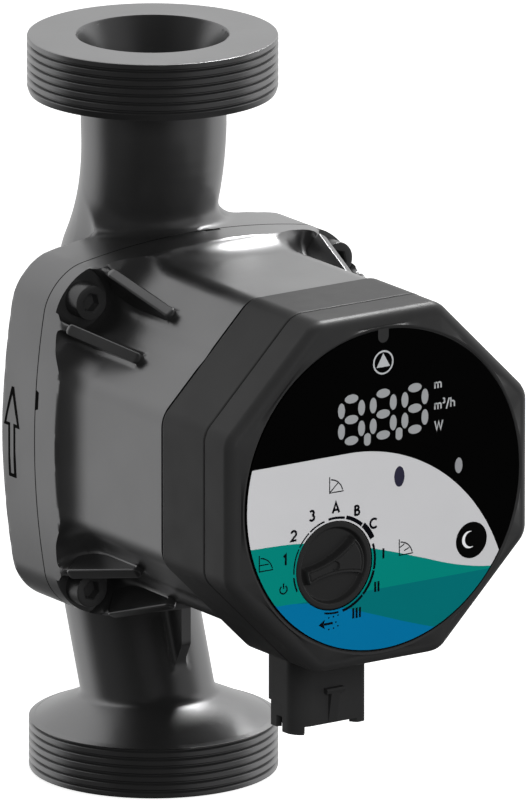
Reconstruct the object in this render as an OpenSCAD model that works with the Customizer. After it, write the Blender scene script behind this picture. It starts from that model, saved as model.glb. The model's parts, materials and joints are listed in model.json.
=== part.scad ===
// Wet-rotor circulator pump with an inline cast housing, a canned motor and an
// octagonal control box. Millimetres. The origin is the centre of the lower
// port's face, +Z runs along the flow to the upper port, and the front faces -Y.
// Inside each module a point is (x, height above the motor axis, distance
// forward of the port axis), because on_axis() turns that frame into place.

/* [Ports] */
// Distance between the faces of the two ports
port_length = 180; // [176:1:190]
// Radius over the crests of the port thread
thread_r = 29.8; // [29.6:0.1:30]
// Distance between the grooves of the port thread
thread_pitch = 2; // [1.8:0.1:2]
// Height of a threaded port ring
ring_h = 13.4; // [13.2:0.1:14.4]
// Radius of the waterway at a port face
port_bore_r = 18; // [16:0.5:20]
// Outer radius of a neck
neck_r = 16.8; // [16:0.1:17.5]
// Radius of the waterway in a neck
neck_bore_r = 13; // [12:0.1:13.5]
// Lean of the lower neck away from the front
lower_lean = 18.7; // [17:0.1:20]
// Lean of the upper neck where it enters the casting
upper_lean = 25; // [22:0.5:27]

/* [Castings] */
// Half of the width of the square flange at the middle of a side
flange_half = 45.2; // [44.5:0.1:46]
// Radius of the bulging sides of the flange
flange_side_r = 180; // [150:5:260]
// Radius of the flange corners
flange_corner_r = 9.5; // [8:0.5:11]
// Forward distance of the back of the flange
flange_back = 3; // [2:0.1:4]
// Forward distance of the joint between the two castings
parting = 16.9; // [16:0.1:17.5]
// Forward distance of the front of the motor flange
rim_front = 25.1; // [24:0.1:26]
// Half of the width of the motor body across flats
motor_half = 42.9; // [42:0.1:43.2]
// Depth of the motor body below its axis
motor_bottom = 37; // [36.5:0.1:40]
// Forward distance of the end of the motor body
motor_end = 64.6; // [64:0.1:65]
// Radius of the volute chamber
volute_r = 34; // [33:0.5:34.5]

/* [Bolts] */
// Distance between neighbouring flange bolts
bolt_pitch = 70.3; // [69.5:0.1:71]
// Radius of a flange bolt's shank
bolt_r = 2.5; // [2.5:0.1:2.6]
// Radius of a flange bolt's head
bolt_head_r = 4.25; // [4:0.05:4.5]
// Radius of the pocket round a bolt head
pocket_r = 8.4; // [8:0.1:8.8]
// Forward distance of the seat under a bolt head
bolt_seat = 21.5; // [21:0.1:22]

/* [Control box] */
// Half of the width of the box across flats
box_half = 43.5; // [43.2:0.1:44]
// Radius of the box corners
box_corner_r = 6; // [4:0.5:8]
// Forward distance of the back of the box
box_back = 67; // [66.5:0.1:67.5]
// Forward distance of the joint between rear shell and cover
box_split = 84.8; // [84:0.1:85.5]
// Forward distance where the front edge begins to slope in
bevel_start = 92.9; // [92:0.1:93.5]
// Forward distance of the front of the box
box_front = 96.5; // [96:0.1:97]
// Wall thickness of the box
box_wall = 2; // [1.8:0.1:2.4]
// Radius of the round face label
label_r = 38.8; // [38.4:0.1:39]
// Thickness of the face label
label_t = 0.6; // [0.4:0.1:0.8]

/* [Controls] */
// Sideways place of the selector knob
knob_x = -13.9; // [-14.5:0.1:-13]
// Height of the selector knob from the box centre
knob_h = -16.2; // [-17:0.1:-15]
// Radius of the selector knob
knob_r = 10.7; // [10:0.1:11]
// How far the knob's grip stands out of the face
grip_out = 1.6; // [1:0.1:2.4]
// Angle of the grip's narrow end, at the first mark of the dial
grip_angle = 194; // [180:1:210]
// Sideways place of the night button
button_x = 25.2; // [24:0.1:26]
// Height of the night button from the box centre
button_h = -16.1; // [-17:0.1:-15]
// Radius of the night button
button_r = 4.3; // [4:0.1:4.6]
// Travel of the night button
button_travel = 0.8; // [0.4:0.1:1]

/* [Rotor] */
// Radius of the rotor shaft
shaft_r = 4; // [3.5:0.1:4.5]
// Radial clearance of the shaft in its bearings
shaft_gap = 0.04; // [0.02:0.01:0.08]
// Inner radius of the rotor can
can_r = 15.6; // [15.4:0.1:15.8]
// Wall thickness of the rotor can
can_wall = 0.4; // [0.3:0.1:0.4]
// Radius of the impeller
impeller_r = 27; // [25:0.5:30]
// Number of impeller blades
blade_count = 7; // [5:1:9]
// Number of stator teeth and coils
tooth_count = 9; // [9:3:9]

/* [Power socket] */
// Half of the width of the socket
socket_half = 10; // [9.6:0.1:10.4]
// Forward distance of the back of the socket
socket_back = 62.7; // [62.5:0.1:63]
// Forward distance of the front of the socket
socket_front = 75.2; // [75:0.1:76]
// Distance of the socket's rim below the motor axis
socket_rim = 61.5; // [60:0.1:62]
// How far the socket's corner legs reach below its rim
leg_drop = 2.3; // [2:0.1:3]

/* [Hidden] */

$fn = 96;
axis_z = port_length / 2;
face_h = port_length / 2;
bolt_at = bolt_pitch / 2;
joint_gap = 0.05;
past = 1;

// Thread: flat-topped ridges between grooves
first_groove = 1.7;
groove_count = 6;
groove_w = 1;
groove_depth = 0.8;
ring_chamfer = 0.8;
bore_taper = 12;

// How far an elbow ball stands out of its pipe
ball_over = 0.3;
// Necks: the upper one bends back in two steps, and the lower one leans all the way
upper_path = [[0, face_h - 5], [0, face_h - 30], [9 * tan(upper_lean / 2), face_h - 39],
    [9 * tan(upper_lean / 2) + 13 * tan(upper_lean), face_h - 52]];
lower_path = [[-1, -face_h + 8], [-1 + 41 * tan(lower_lean), -face_h + 49]];

// Web between the flange and the lower neck
web_t = 2.6;
web_low = 64;
web_top = 40;
web_back_d = -12;
web_front = 14;

// Casting inside
volute_back = 2;
wall_back = -1;
suction_r = 10.5;
suction_at = wall_back - suction_r;
bowl_back = -24.8;
eye_r = 11.5;
outlet_h = 29;
outlet_r = 8;

// Motor stack, forward distances
plate_r = 39.5;
plate_t = 2.5;
plate_front = parting + plate_t;
hub_front = 27;
bearing_r = 8;
seal_t = 1;
can_flange_r = 22;
can_step = 54;
can_end = 60;
rib_root = [42, 30];
rib_tip = [35, 25.8];
rib_front = 47;
rib_t = 2.8;
stack_back = 30;
stack_front = 52;
stator_r = 34;
bore_front = 61.4;
tooth_w = 5;
tooth_tip_r = can_r + can_wall + 0.4;
yoke_r = 28.5;
insulator_t = 0.5;
coil_t = 3;
coil_over = 3.4;
rotor_r = 14.2;
sleeve_t = 0.4;
shaft_back = 4;
shaft_front = 58.6;

// Impeller, forward distances
shroud_back = 4.5;
blade_back = 6;
blade_front = 11.5;
impeller_front = 13.5;
collar_r = 9.7;
collar_back = 0;

// Box inside, forward distances
power_board_back = 72;
board_t = 1.6;
control_board_back = 86;
plug_half_w = 6;
plug_half_h = 3.5;
plug_pitch = 4;
plug_hole = 1.6;
plug_depth = 5;
module_half_w = 12;
module_low = 26;
module_top = 14;
module_t = 4;
link_count = 6;
link_x = 30;
link_w = 1;
link_first = -6;
link_pitch = 2.5;
display_back = control_board_back + board_t;
label_back = box_front - label_t;
cover_web = 1.6;
web_back = label_back - cover_web;
control_gap = 0.4;
display_h = 18.2;
display_half_w = 15;
display_half_h = 7;
screw_ring = 37;
fixing_turn = 22.5;
cover_turn = 67.5;
screw_r = 1.5;
knob_disc_back = 92.6;
spindle_r = 3;
encoder_half = 6;
encoder_front = 91.6;
led_r = 1.2;
guide_places = [[4.6, 2.6], [21.5, 2.7]];
guide_r = 1.4;
switch_half = 3;
switch_front = 91;

// Socket
socket_wall = 1.6;
socket_floor = 46.5;
socket_top = box_half - box_wall;
side_notch = 66.2;
catch_top = 53;
catch_bar = 1.2;
catch_out = 1.8;
catch_half_w = 2.6;
notch_w = 2.6;
notch_above_rim = 1.2;
pin_at = [-4.6, 0, 4.6];
pin_w = 1.6;
pin_tip = 54.5;
pin_back = 68.2;
pin_step = 42.2;
pin_end = 36;
leg_w = 2.9;
socket_corner_r = 2.4;

CAST = [0.30, 0.30, 0.31];
STEEL = [0.72, 0.73, 0.75];
COPPER = [0.72, 0.42, 0.22];
PLASTIC = [0.11, 0.11, 0.12];
BOARD = [0.05, 0.30, 0.16];

module on_axis() {
    translate([0, 0, axis_z]) rotate([90, 0, 0]) children();
}

// A solid cylinder along the forward direction between two distances
module disc(r, back, front) {
    translate([0, 0, back]) cylinder(r = r, h = front - back);
}

module ring(r_out, r_in, back, front) {
    difference() {
        disc(r_out, back, front);
        disc(r_in, back - past, front + past);
    }
}

module slab(x_low, x_high, h_low, h_high, back, front) {
    translate([x_low, h_low, back]) cube([x_high - x_low, h_high - h_low, front - back]);
}

function arc(cx, cy, r, from, to, steps) =
    [for (i = [0:steps]) let (a = from + (to - from) * i / steps) [cx + r * cos(a), cy + r * sin(a)]];

function turned(points, angle) =
    [for (p = points) [p[0] * cos(angle) - p[1] * sin(angle), p[0] * sin(angle) + p[1] * cos(angle)]];

// One side and one corner of a square with bulging sides and round corners
function bulged_quarter(half, side_r, corner_r) =
    let (k = side_r - half,
        c = (sqrt(2 * pow(side_r - corner_r, 2) - k * k) - k) / 2,
        t = atan2(c, c + k),
        side = arc(-k, 0, side_r, -t, t, 10))
    concat([for (i = [0:9]) side[i]], arc(c, c, corner_r, t, 90 - t, 8));

function bulged_square(half, side_r, corner_r) =
    [for (q = [0:3]) for (p = turned(bulged_quarter(half, side_r, corner_r), 90 * q)) p];

function round_octagon(half, corner_r) =
    [for (q = [0:7]) for (p = arc((half - corner_r) / cos(22.5) * cos(22.5 + 45 * q),
        (half - corner_r) / cos(22.5) * sin(22.5 + 45 * q), corner_r, 45 * q, 45 * q + 45, 4)) p];

module flange_outline(inset = 0) {
    polygon(bulged_square(flange_half - inset, flange_side_r, flange_corner_r - inset / 2));
}

module box_outline(inset = 0) {
    polygon(round_octagon(box_half - inset, box_corner_r - inset / 2));
}

module motor_outline(inset = 0) {
    intersection() {
        polygon(round_octagon(motor_half - inset, 4));
        translate([-50, inset - motor_bottom]) square([100, 100]);
    }
}

module at_bolts() {
    for (x = [-1, 1]) for (h = [-1, 1]) translate([x * bolt_at, h * bolt_at, 0]) children();
}

module at_screws(turn) {
    for (a = [turn:90:359]) rotate([0, 0, a]) translate([screw_ring, 0, 0]) children();
}

// ---- Pump casting ----

// Profile of a port ring from its face at height 0 to a back of the given radius and height
function ring_profile(back_r, back_h) =
    concat([[0, 0], [thread_r, 0]],
        [for (i = [0:groove_count - 1]) let (h = first_groove + i * thread_pitch)
            for (p = [[thread_r, h - groove_w / 2], [thread_r - groove_depth, h],
                [thread_r, h + groove_w / 2]]) p],
        [[thread_r, ring_h - ring_chamfer], [thread_r - ring_chamfer, ring_h], [back_r, back_h],
            [0, back_h]]);

module port_ring(back_r, back_h) {
    rotate_extrude() polygon(ring_profile(back_r, back_h));
}

// A round pipe along points given as (distance back, height), with ball elbows
module pipe(path, r) {
    for (i = [1:len(path) - 1]) {
        a = path[i - 1];
        b = path[i];
        translate([0, a[0], a[1]]) rotate([atan2(a[0] - b[0], b[1] - a[1]), 0, 0])
            cylinder(r = r, h = norm(b - a));
        translate([0, b[0], b[1]]) sphere(r = r + ball_over);
    }
}

module bowl() {
    rotate_extrude() polygon(concat([[0, bowl_back]],
        [for (i = [0:6]) [22 + 17 * sin(15 * i), bowl_back + (flange_back - bowl_back) * (1 - cos(15 * i))]],
        [[0, flange_back + past]]));
}

module flow_arrow() {
    rotate([0, -90, 0]) translate([0, 6.3, flange_half - 0.6]) linear_extrude(2)
        polygon([[-9.5, -1.2], [5, -1.2], [5, -3.4], [12.5, 0], [5, 3.4], [5, 1.2], [-9.5, 1.2]]);
}

// The flange, with its back edge rounded off by one chamfer
module flange_block() {
    hull() {
        translate([0, 0, flange_back + 3]) linear_extrude(parting - flange_back - 3) flange_outline();
        translate([0, 0, flange_back]) linear_extrude(1) flange_outline(2.5);
    }
}

module pump_body() {
    pipe(upper_path, neck_r);
    pipe(lower_path, neck_r);
    translate([0, 0, -face_h]) port_ring(18.5, ring_h + 4);
    translate([0, 0, face_h]) mirror([0, 0, 1]) port_ring(neck_r + 1, ring_h);
    translate([0, 0, -axis_z]) on_axis() {
        flange_block();
        bowl();
        slab(-web_t / 2, web_t / 2, -web_low, -web_top, web_back_d, web_front);
    }
}

module waterway() {
    pipe(upper_path, neck_bore_r);
    pipe(lower_path, neck_bore_r);
    for (side = [0, 1]) mirror([0, 0, side]) translate([0, 0, face_h - bore_taper])
        cylinder(r1 = neck_bore_r, r2 = port_bore_r + 0.4, h = bore_taper + past);
    translate([0, 0, -axis_z]) on_axis() {
        disc(volute_r, volute_back, parting + past);
        disc(eye_r, wall_back - past, volute_back + past);
        disc(suction_r, suction_at, wall_back);
        translate([0, 0, suction_at]) sphere(r = suction_r + ball_over);
        translate([0, -41, suction_at]) rotate([-90, 0, 0]) cylinder(r = suction_r, h = 41);
        translate([0, outlet_h, -9]) cylinder(r = outlet_r, h = 9 + volute_back + past);
    }
}

module pump_housing() {
    color(CAST) translate([0, 0, axis_z]) difference() {
        pump_body();
        waterway();
        translate([0, 0, -axis_z]) on_axis() {
            ring(37.8, 35.3, parting - 2.2, parting + past);
            at_bolts() disc(bolt_r + joint_gap, parting - 12, parting + past);
            flow_arrow();
        }
    }
}

module wear_ring() {
    color(STEEL) on_axis() ring(eye_r, 10, wall_back, volute_back);
}

module housing_gasket() {
    color("dimgray") on_axis() rotate_extrude() translate([36.55, parting - 1.1])
        circle(r = 1.05);
}

// ---- Motor ----

// A gusset that runs from the flange's corner up to the motor body
module corner_rib() {
    run = norm(rib_tip - rib_root);
    translate(rib_root) rotate([0, 0, atan2(rib_tip[1] - rib_root[1], rib_tip[0] - rib_root[0])])
        rotate([90, 0, 0]) translate([0, 0, -rib_t / 2]) linear_extrude(rib_t)
            polygon([[0, bolt_seat - 3], [0, rim_front], [run, rib_front], [run + 5, rib_front],
                [run + 5, bolt_seat - 3]]);
}

module motor_body() {
    translate([0, 0, parting]) linear_extrude(rim_front - parting) flange_outline();
    translate([0, 0, rim_front - past]) linear_extrude(motor_end - rim_front + past) motor_outline();
}

module all_ribs() {
    for (m = [0, 1]) mirror([m, 0, 0]) for (n = [0, 1]) mirror([0, n, 0]) {
        corner_rib();
        mirror([1, -1, 0]) corner_rib();
    }
}

module motor_housing() {
    color(CAST) on_axis() difference() {
        union() {
            difference() {
                motor_body();
                at_bolts() disc(pocket_r, bolt_seat, 40);
            }
            all_ribs();
        }
        disc(plate_r + joint_gap, parting - past, plate_front);
        disc(can_flange_r + 6, parting, plate_front + 3);
        disc(stator_r + joint_gap, plate_front + 3 - joint_gap, bore_front);
        disc(10, bore_front - past, motor_end + past);
        at_bolts() disc(bolt_r + 0.3, parting - past, 40);
        at_screws(fixing_turn) disc(screw_r + joint_gap, motor_end - 9, motor_end + past);
        at_bolts() disc(bolt_head_r + 1, bolt_seat, rib_front + past);
    }
}

module flange_bolts() {
    color("#303236") on_axis() at_bolts() difference() {
        union() {
            disc(bolt_head_r, bolt_seat, bolt_seat + 5);
            disc(bolt_r, parting - 11.5, bolt_seat + 1);
        }
        translate([0, 0, bolt_seat + 2.6]) cylinder(r = 2.31, h = 4, $fn = 6);
    }
}

module bearing_plate() {
    color(STEEL) on_axis() difference() {
        union() {
            disc(plate_r, parting, plate_front);
            disc(bearing_r + 2.6, parting, hub_front);
        }
        disc(bearing_r, parting + 1.2, hub_front + past);
        disc(shaft_r + 0.6, parting - past, parting + 2);
    }
}

module front_bearing() {
    color("#202020") on_axis() ring(bearing_r, shaft_r + shaft_gap, parting + 1.2, hub_front);
}

module can_seal() {
    color("dimgray") on_axis() ring(can_flange_r - 0.5, can_r + 1, plate_front, plate_front + seal_t);
}

module rotor_can() {
    flange_back_at = plate_front + seal_t;
    color(STEEL) on_axis() difference() {
        union() {
            disc(can_flange_r, flange_back_at, flange_back_at + 0.8);
            disc(can_r + can_wall, flange_back_at, can_step + can_wall);
            disc(bearing_r + can_wall, can_step, can_end + can_wall);
        }
        disc(can_r, flange_back_at - past, can_step);
        disc(bearing_r, can_step - past, can_end);
    }
}

module rear_bearing() {
    color("#202020") on_axis() ring(bearing_r, shaft_r + shaft_gap, can_step, can_end - 0.6);
}

module at_teeth() {
    for (i = [0:tooth_count - 1]) rotate([0, 0, 360 / tooth_count * i + 10]) children();
}

module tooth_block(grow, over, x_low, x_high) {
    slab(x_low, x_high, -tooth_w / 2 - grow, tooth_w / 2 + grow, stack_back - over, stack_front + over);
}

module stator_section() {
    difference() {
        union() {
            difference() {
                circle(r = stator_r);
                circle(r = yoke_r);
            }
            at_teeth() {
                translate([tooth_tip_r - 3, -tooth_w / 2]) square([yoke_r + 1.5 - tooth_tip_r + 3, tooth_w]);
                translate([tooth_tip_r - 3, -4.6]) square([4.4, 9.2]);
            }
        }
        circle(r = tooth_tip_r);
    }
}

module stator_core() {
    color("#8c8f94") on_axis() translate([0, 0, stack_back]) linear_extrude(stack_front - stack_back)
        stator_section();
}

module slot_insulators() {
    color("#e8e4d4") on_axis() at_teeth() difference() {
        tooth_block(insulator_t, insulator_t, tooth_tip_r + 2, yoke_r - 0.4);
        tooth_block(0, 0, 0, yoke_r + past);
    }
}

module stator_windings() {
    color(COPPER) on_axis() at_teeth() difference() {
        tooth_block(coil_t * 0.9, coil_over, tooth_tip_r + 2.4, yoke_r - 0.8);
        tooth_block(insulator_t, insulator_t, 0, yoke_r + past);
    }
}

module stator_connector() {
    color("#e8e4d4") on_axis() difference() {
        slab(-plug_half_w, plug_half_w, -plug_half_h, plug_half_h, bore_front - 0.8, power_board_back);
        for (x = [-plug_pitch, 0, plug_pitch]) slab(x - plug_hole / 2, x + plug_hole / 2,
            -plug_hole / 2, plug_hole / 2, power_board_back - plug_depth, power_board_back + past);
    }
}

// ---- Rotor ----

module rotor_shaft() {
    color("#e9e6df") on_axis() disc(shaft_r, shaft_back, shaft_front);
}

module rotor_magnet() {
    color("#55585c") on_axis() ring(rotor_r, shaft_r, stack_back, stack_front);
}

module rotor_sleeve() {
    color(STEEL) on_axis() difference() {
        disc(rotor_r + sleeve_t, stack_back - sleeve_t, stack_front + sleeve_t);
        disc(rotor_r, stack_back, stack_front);
        disc(shaft_r, stack_back - past, stack_front + past);
    }
}

module thrust_washer() {
    color("#303030") on_axis() ring(7, shaft_r, hub_front + 0.4, stack_back - sleeve_t);
}

// The outline of one blade: a slice of a ring that runs outwards and back
module blade_section() {
    intersection() {
        translate([9, 13]) difference() {
            circle(r = 17);
            circle(r = 15.8);
        }
        translate([0, -4]) square([40, 44]);
        difference() {
            circle(r = impeller_r - 0.5);
            circle(r = collar_r);
        }
    }
}

module impeller() {
    color("#c9c4b4") on_axis() {
        ring(impeller_r, shaft_r, blade_front, impeller_front);
        ring(6.2, shaft_r, blade_back, impeller_front + 2);
        for (i = [0:blade_count - 1]) rotate([0, 0, 360 / blade_count * i])
            translate([0, 0, blade_back]) linear_extrude(blade_front - blade_back + 0.5) blade_section();
    }
}

module impeller_shroud() {
    color("#c9c4b4") on_axis() {
        ring(impeller_r, collar_r - 1, shroud_back, blade_back);
        ring(collar_r, collar_r - 1, collar_back, shroud_back + 0.5);
    }
}

// ---- Control box ----

module box_seal() {
    color("#101010") on_axis() difference() {
        union() {
            difference() {
                translate([0, 0, motor_end]) linear_extrude(box_back - motor_end) motor_outline(2);
                translate([0, 0, motor_end - past]) linear_extrude(box_back) motor_outline(5);
            }
            at_screws(fixing_turn) disc(3, motor_end, box_back);
        }
        at_screws(fixing_turn) disc(screw_r + 0.3, motor_end - past, box_back + past);
    }
}

module box_rear_shell() {
    color(PLASTIC) on_axis() difference() {
        union() {
            difference() {
                translate([0, 0, box_back]) linear_extrude(box_split - box_back) box_outline();
                translate([0, 0, box_back + box_wall]) linear_extrude(box_split) box_outline(box_wall);
            }
            at_screws(fixing_turn) disc(3.4, box_back, power_board_back);
            at_screws(cover_turn) disc(3.2, box_back, box_split - 3);
        }
        disc(11, box_back - past, box_back + box_wall + past);
        at_screws(fixing_turn) disc(screw_r + 0.3, box_back - past, power_board_back + past);
        at_screws(cover_turn) disc(screw_r + 0.3, box_back - past, box_split);
        at_screws(cover_turn) disc(2.9, box_back - past, box_back + 4);
        slab(-socket_half, socket_half, -box_half - past, -box_half + box_wall + past, box_back, socket_front);
        slab(-socket_half, socket_half, -box_half - past, -socket_top, box_back - past, box_back + past);
    }
}

module screw(tip, under_head) {
    disc(screw_r, tip, under_head + 1);
    disc(2.6, under_head, under_head + 1.8);
}

module box_fixing_screws() {
    color(STEEL) on_axis() at_screws(fixing_turn) difference() {
        screw(motor_end - 8, power_board_back);
        translate([0, 0, power_board_back + 0.9]) cylinder(r = 1.2, h = 2, $fn = 6);
    }
}

module cover_screws() {
    color(STEEL) on_axis() at_screws(cover_turn) difference() {
        union() {
            disc(screw_r, box_back + 2, box_split + 5);
            disc(2.6, box_back + 2, box_back + 3.9);
        }
        translate([0, 0, box_back + past]) cylinder(r = 1.2, h = 2, $fn = 6);
    }
}

module control_hole(x, h, r) {
    translate([x, h, 0]) disc(r + control_gap, knob_disc_back - 2, box_front + past);
}

module box_cover() {
    color(PLASTIC) on_axis() difference() {
        union() {
            difference() {
                hull() {
                    translate([0, 0, box_split]) linear_extrude(bevel_start - box_split) box_outline(0.1);
                    translate([0, 0, box_front - 0.5]) linear_extrude(0.5) box_outline(2.2);
                }
                translate([0, 0, box_split - past]) linear_extrude(web_back - box_split + past)
                    box_outline(box_wall + 1.2);
            }
            at_screws(cover_turn) disc(3.2, box_split - 3 + joint_gap, web_back + 0.5);
            translate([knob_x, knob_h, 0]) ring(knob_r + 2, knob_r + control_gap, knob_disc_back, web_back + past);
        }
        disc(label_r + 0.1, label_back, box_front + past);
        control_hole(knob_x, knob_h, knob_r);
        control_hole(button_x, button_h, button_r);
        at_screws(cover_turn) disc(screw_r + joint_gap, box_split - 4, box_split + 6);
        slab(-display_half_w, display_half_w, display_h - display_half_h, display_h + display_half_h,
            box_split, box_front);
        for (p = guide_places) translate([p[0], p[1], 0]) disc(guide_r, box_split, box_front);
    }
}

module face_label() {
    color("black") on_axis() difference() {
        disc(label_r, label_back, box_front);
        control_hole(knob_x, knob_h, knob_r);
        control_hole(button_x, button_h, button_r);
        for (p = guide_places) translate([p[0], p[1], 0]) disc(guide_r, box_split, box_front + past);
    }
}

module board(half, back) {
    translate([0, 0, back]) linear_extrude(board_t) polygon(round_octagon(half, 3));
}

module power_board() {
    color(BOARD) on_axis() difference() {
        board(38, power_board_back);
        at_screws(fixing_turn) disc(3, 0, box_front);
        at_screws(cover_turn) disc(3.6, 0, box_front);
    }
}

module storage_capacitors() {
    front = power_board_back + board_t;
    color("#26303c") on_axis() for (x = [-24, -11.5]) translate([x, 20, 0]) disc(5.6, front, front + 11);
}

module filter_choke() {
    front = power_board_back + board_t;
    color(COPPER) on_axis() translate([18, 18, 0]) ring(9, 4, front, front + 8);
}

module power_module() {
    front = power_board_back + board_t;
    color("#1c1c1e") on_axis() slab(-module_half_w, module_half_w, -module_low, -module_top,
        front, front + module_t);
}

module heat_pad() {
    color("#7a7f8a") on_axis() slab(-module_half_w, module_half_w, -module_low, -module_top,
        box_back + box_wall, power_board_back);
}

module board_link() {
    color("#d9b24a") on_axis() for (i = [0:link_count - 1]) slab(-link_x - link_w / 2, -link_x + link_w / 2,
        link_first + link_pitch * i, link_first + link_pitch * i + link_w,
        power_board_back + board_t, control_board_back);
}

module control_board() {
    color(BOARD) on_axis() difference() {
        board(37, control_board_back);
        at_screws(cover_turn) disc(3.6, 0, box_front);
        translate([knob_x, knob_h, 0]) disc(spindle_r + 1, 0, box_front);
    }
}

module display_module() {
    color("#18181a") on_axis() slab(-display_half_w + 0.2, display_half_w - 0.2,
        display_h - display_half_h + 0.2, display_h + display_half_h - 0.2, display_back, label_back - 1);
}

module display_window() {
    color("#303034") on_axis() slab(-display_half_w + 0.2, display_half_w - 0.2,
        display_h - display_half_h + 0.2, display_h + display_half_h - 0.2, label_back - 1, label_back);
}

module status_leds() {
    color("#dfe3d8") on_axis() for (p = guide_places) translate([p[0], p[1], 0])
        disc(led_r, display_back, display_back + 1.4);
}

module light_guides() {
    color("#9aa0a8") on_axis() for (p = guide_places) translate([p[0], p[1], 0])
        disc(guide_r - joint_gap, display_back + 1.4, box_front - 0.05);
}

module selector_encoder() {
    color("#2a2c30") on_axis() translate([knob_x, knob_h, 0]) difference() {
        slab(-encoder_half, encoder_half, -encoder_half, encoder_half, display_back, encoder_front);
        disc(spindle_r + 0.05, display_back - past, encoder_front + past);
    }
}

module selector_spindle() {
    color("#d8d4c8") on_axis() translate([knob_x, knob_h, 0]) disc(spindle_r, display_back + 0.4, knob_disc_back);
}

// The knob is a flush disc with a grip that is narrow at one end and wide at the other
module selector_knob() {
    color("#161617") on_axis() translate([knob_x, knob_h, 0]) {
        disc(knob_r, knob_disc_back, box_front - 0.2);
        rotate([0, 0, grip_angle]) translate([0, 0, box_front - 1]) linear_extrude(1 + grip_out)
            polygon(concat(arc(0, 0, knob_r - 0.9, -12, 12, 6), [[0.5, 2.2]],
                arc(0, 0, knob_r - 0.9, 150, 210, 10), [[0.5, -2.2]]));
    }
}

module night_switch() {
    color("#3a3c40") on_axis() translate([button_x, button_h, 0]) {
        slab(-switch_half, switch_half, -switch_half, switch_half, display_back, switch_front - 0.6);
        disc(1.6, display_back, switch_front);
    }
}

module night_button() {
    stem_back = switch_front + button_travel + joint_gap;
    color("#101010") on_axis() translate([button_x, button_h, 0]) {
        disc(button_r, web_back - 1.4, box_front);
        disc(button_r + 0.9, web_back - 1.4, web_back - 0.4);
        disc(2, stem_back, web_back);
    }
}

// ---- Power socket ----

module socket_outline(inset = 0) {
    w = socket_half - inset;
    back = socket_back + inset;
    front = socket_front - inset;
    r = max(socket_corner_r - inset, 0.6);
    polygon(concat(arc(w - r, -(back + r), r, 0, 90, 6), arc(-w + r, -(back + r), r, 90, 180, 6),
        arc(-w + r, -(front - r), r, 180, 270, 6), arc(w - r, -(front - r), r, 270, 360, 6)));
}

// A prism of the socket's outline between two distances below the motor axis
module socket_prism(inset, low, high) {
    translate([0, 0, axis_z - low]) linear_extrude(low - high) socket_outline(inset);
}

// A wedge under a short bar, which the plug's latch snaps over
module socket_catch() {
    translate([-0.8, 0, axis_z]) rotate([0, 90, 0]) linear_extrude(1.6)
        polygon([[catch_top, -socket_front + past], [catch_top, -socket_front - catch_out],
            [catch_top + catch_bar, -socket_front - catch_out], [socket_rim, -socket_front],
            [socket_rim, -socket_front + past]]);
    on_axis() slab(-catch_half_w, catch_half_w, -catch_top - catch_bar, -catch_top,
        socket_front - socket_wall / 2, socket_front + catch_out);
}

// A contact that rises from the cavity, steps forward and ends behind the power board
module contact(x, grow) {
    low = pin_step + pin_w;
    slab(x - pin_w / 2 - grow, x + pin_w / 2 + grow, -pin_tip, -pin_step + grow,
        pin_back - grow, pin_back + pin_w + grow);
    slab(x - pin_w / 2 - grow, x + pin_w / 2 + grow, -low - grow, -pin_step + grow,
        pin_back, power_board_back + grow);
    slab(x - pin_w / 2 - grow, x + pin_w / 2 + grow, -low, -pin_end, power_board_back - pin_w - grow,
        power_board_back + grow);
}

module power_socket() {
    rim_low = socket_rim + leg_drop + past;
    color(PLASTIC) difference() {
        union() {
            socket_prism(0, socket_rim + leg_drop, socket_top);
            socket_catch();
        }
        socket_prism(socket_wall, rim_low, socket_floor);
        on_axis() {
            slab(-socket_half + leg_w, socket_half - leg_w, -rim_low, -socket_rim, socket_back - past, socket_front + 3);
            slab(-socket_half - past, socket_half + past, -rim_low, -socket_rim + notch_above_rim,
                side_notch, side_notch + notch_w);
            for (x = pin_at) contact(x, joint_gap);
        }
    }
}

module socket_pins() {
    color("#c8a452") on_axis() for (x = pin_at) contact(x, 0);
}

pump_housing();
wear_ring();
housing_gasket();
motor_housing();
flange_bolts();
bearing_plate();
front_bearing();
rotor_can();
can_seal();
rear_bearing();
stator_core();
slot_insulators();
stator_windings();
stator_connector();
rotor_shaft();
rotor_magnet();
rotor_sleeve();
thrust_washer();
impeller();
impeller_shroud();
box_seal();
box_rear_shell();
box_fixing_screws();
box_cover();
cover_screws();
face_label();
power_board();
storage_capacitors();
filter_choke();
power_module();
heat_pad();
board_link();
control_board();
display_module();
display_window();
status_leds();
light_guides();
selector_encoder();
selector_spindle();
selector_knob();
night_switch();
night_button();
power_socket();
socket_pins();
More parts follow.
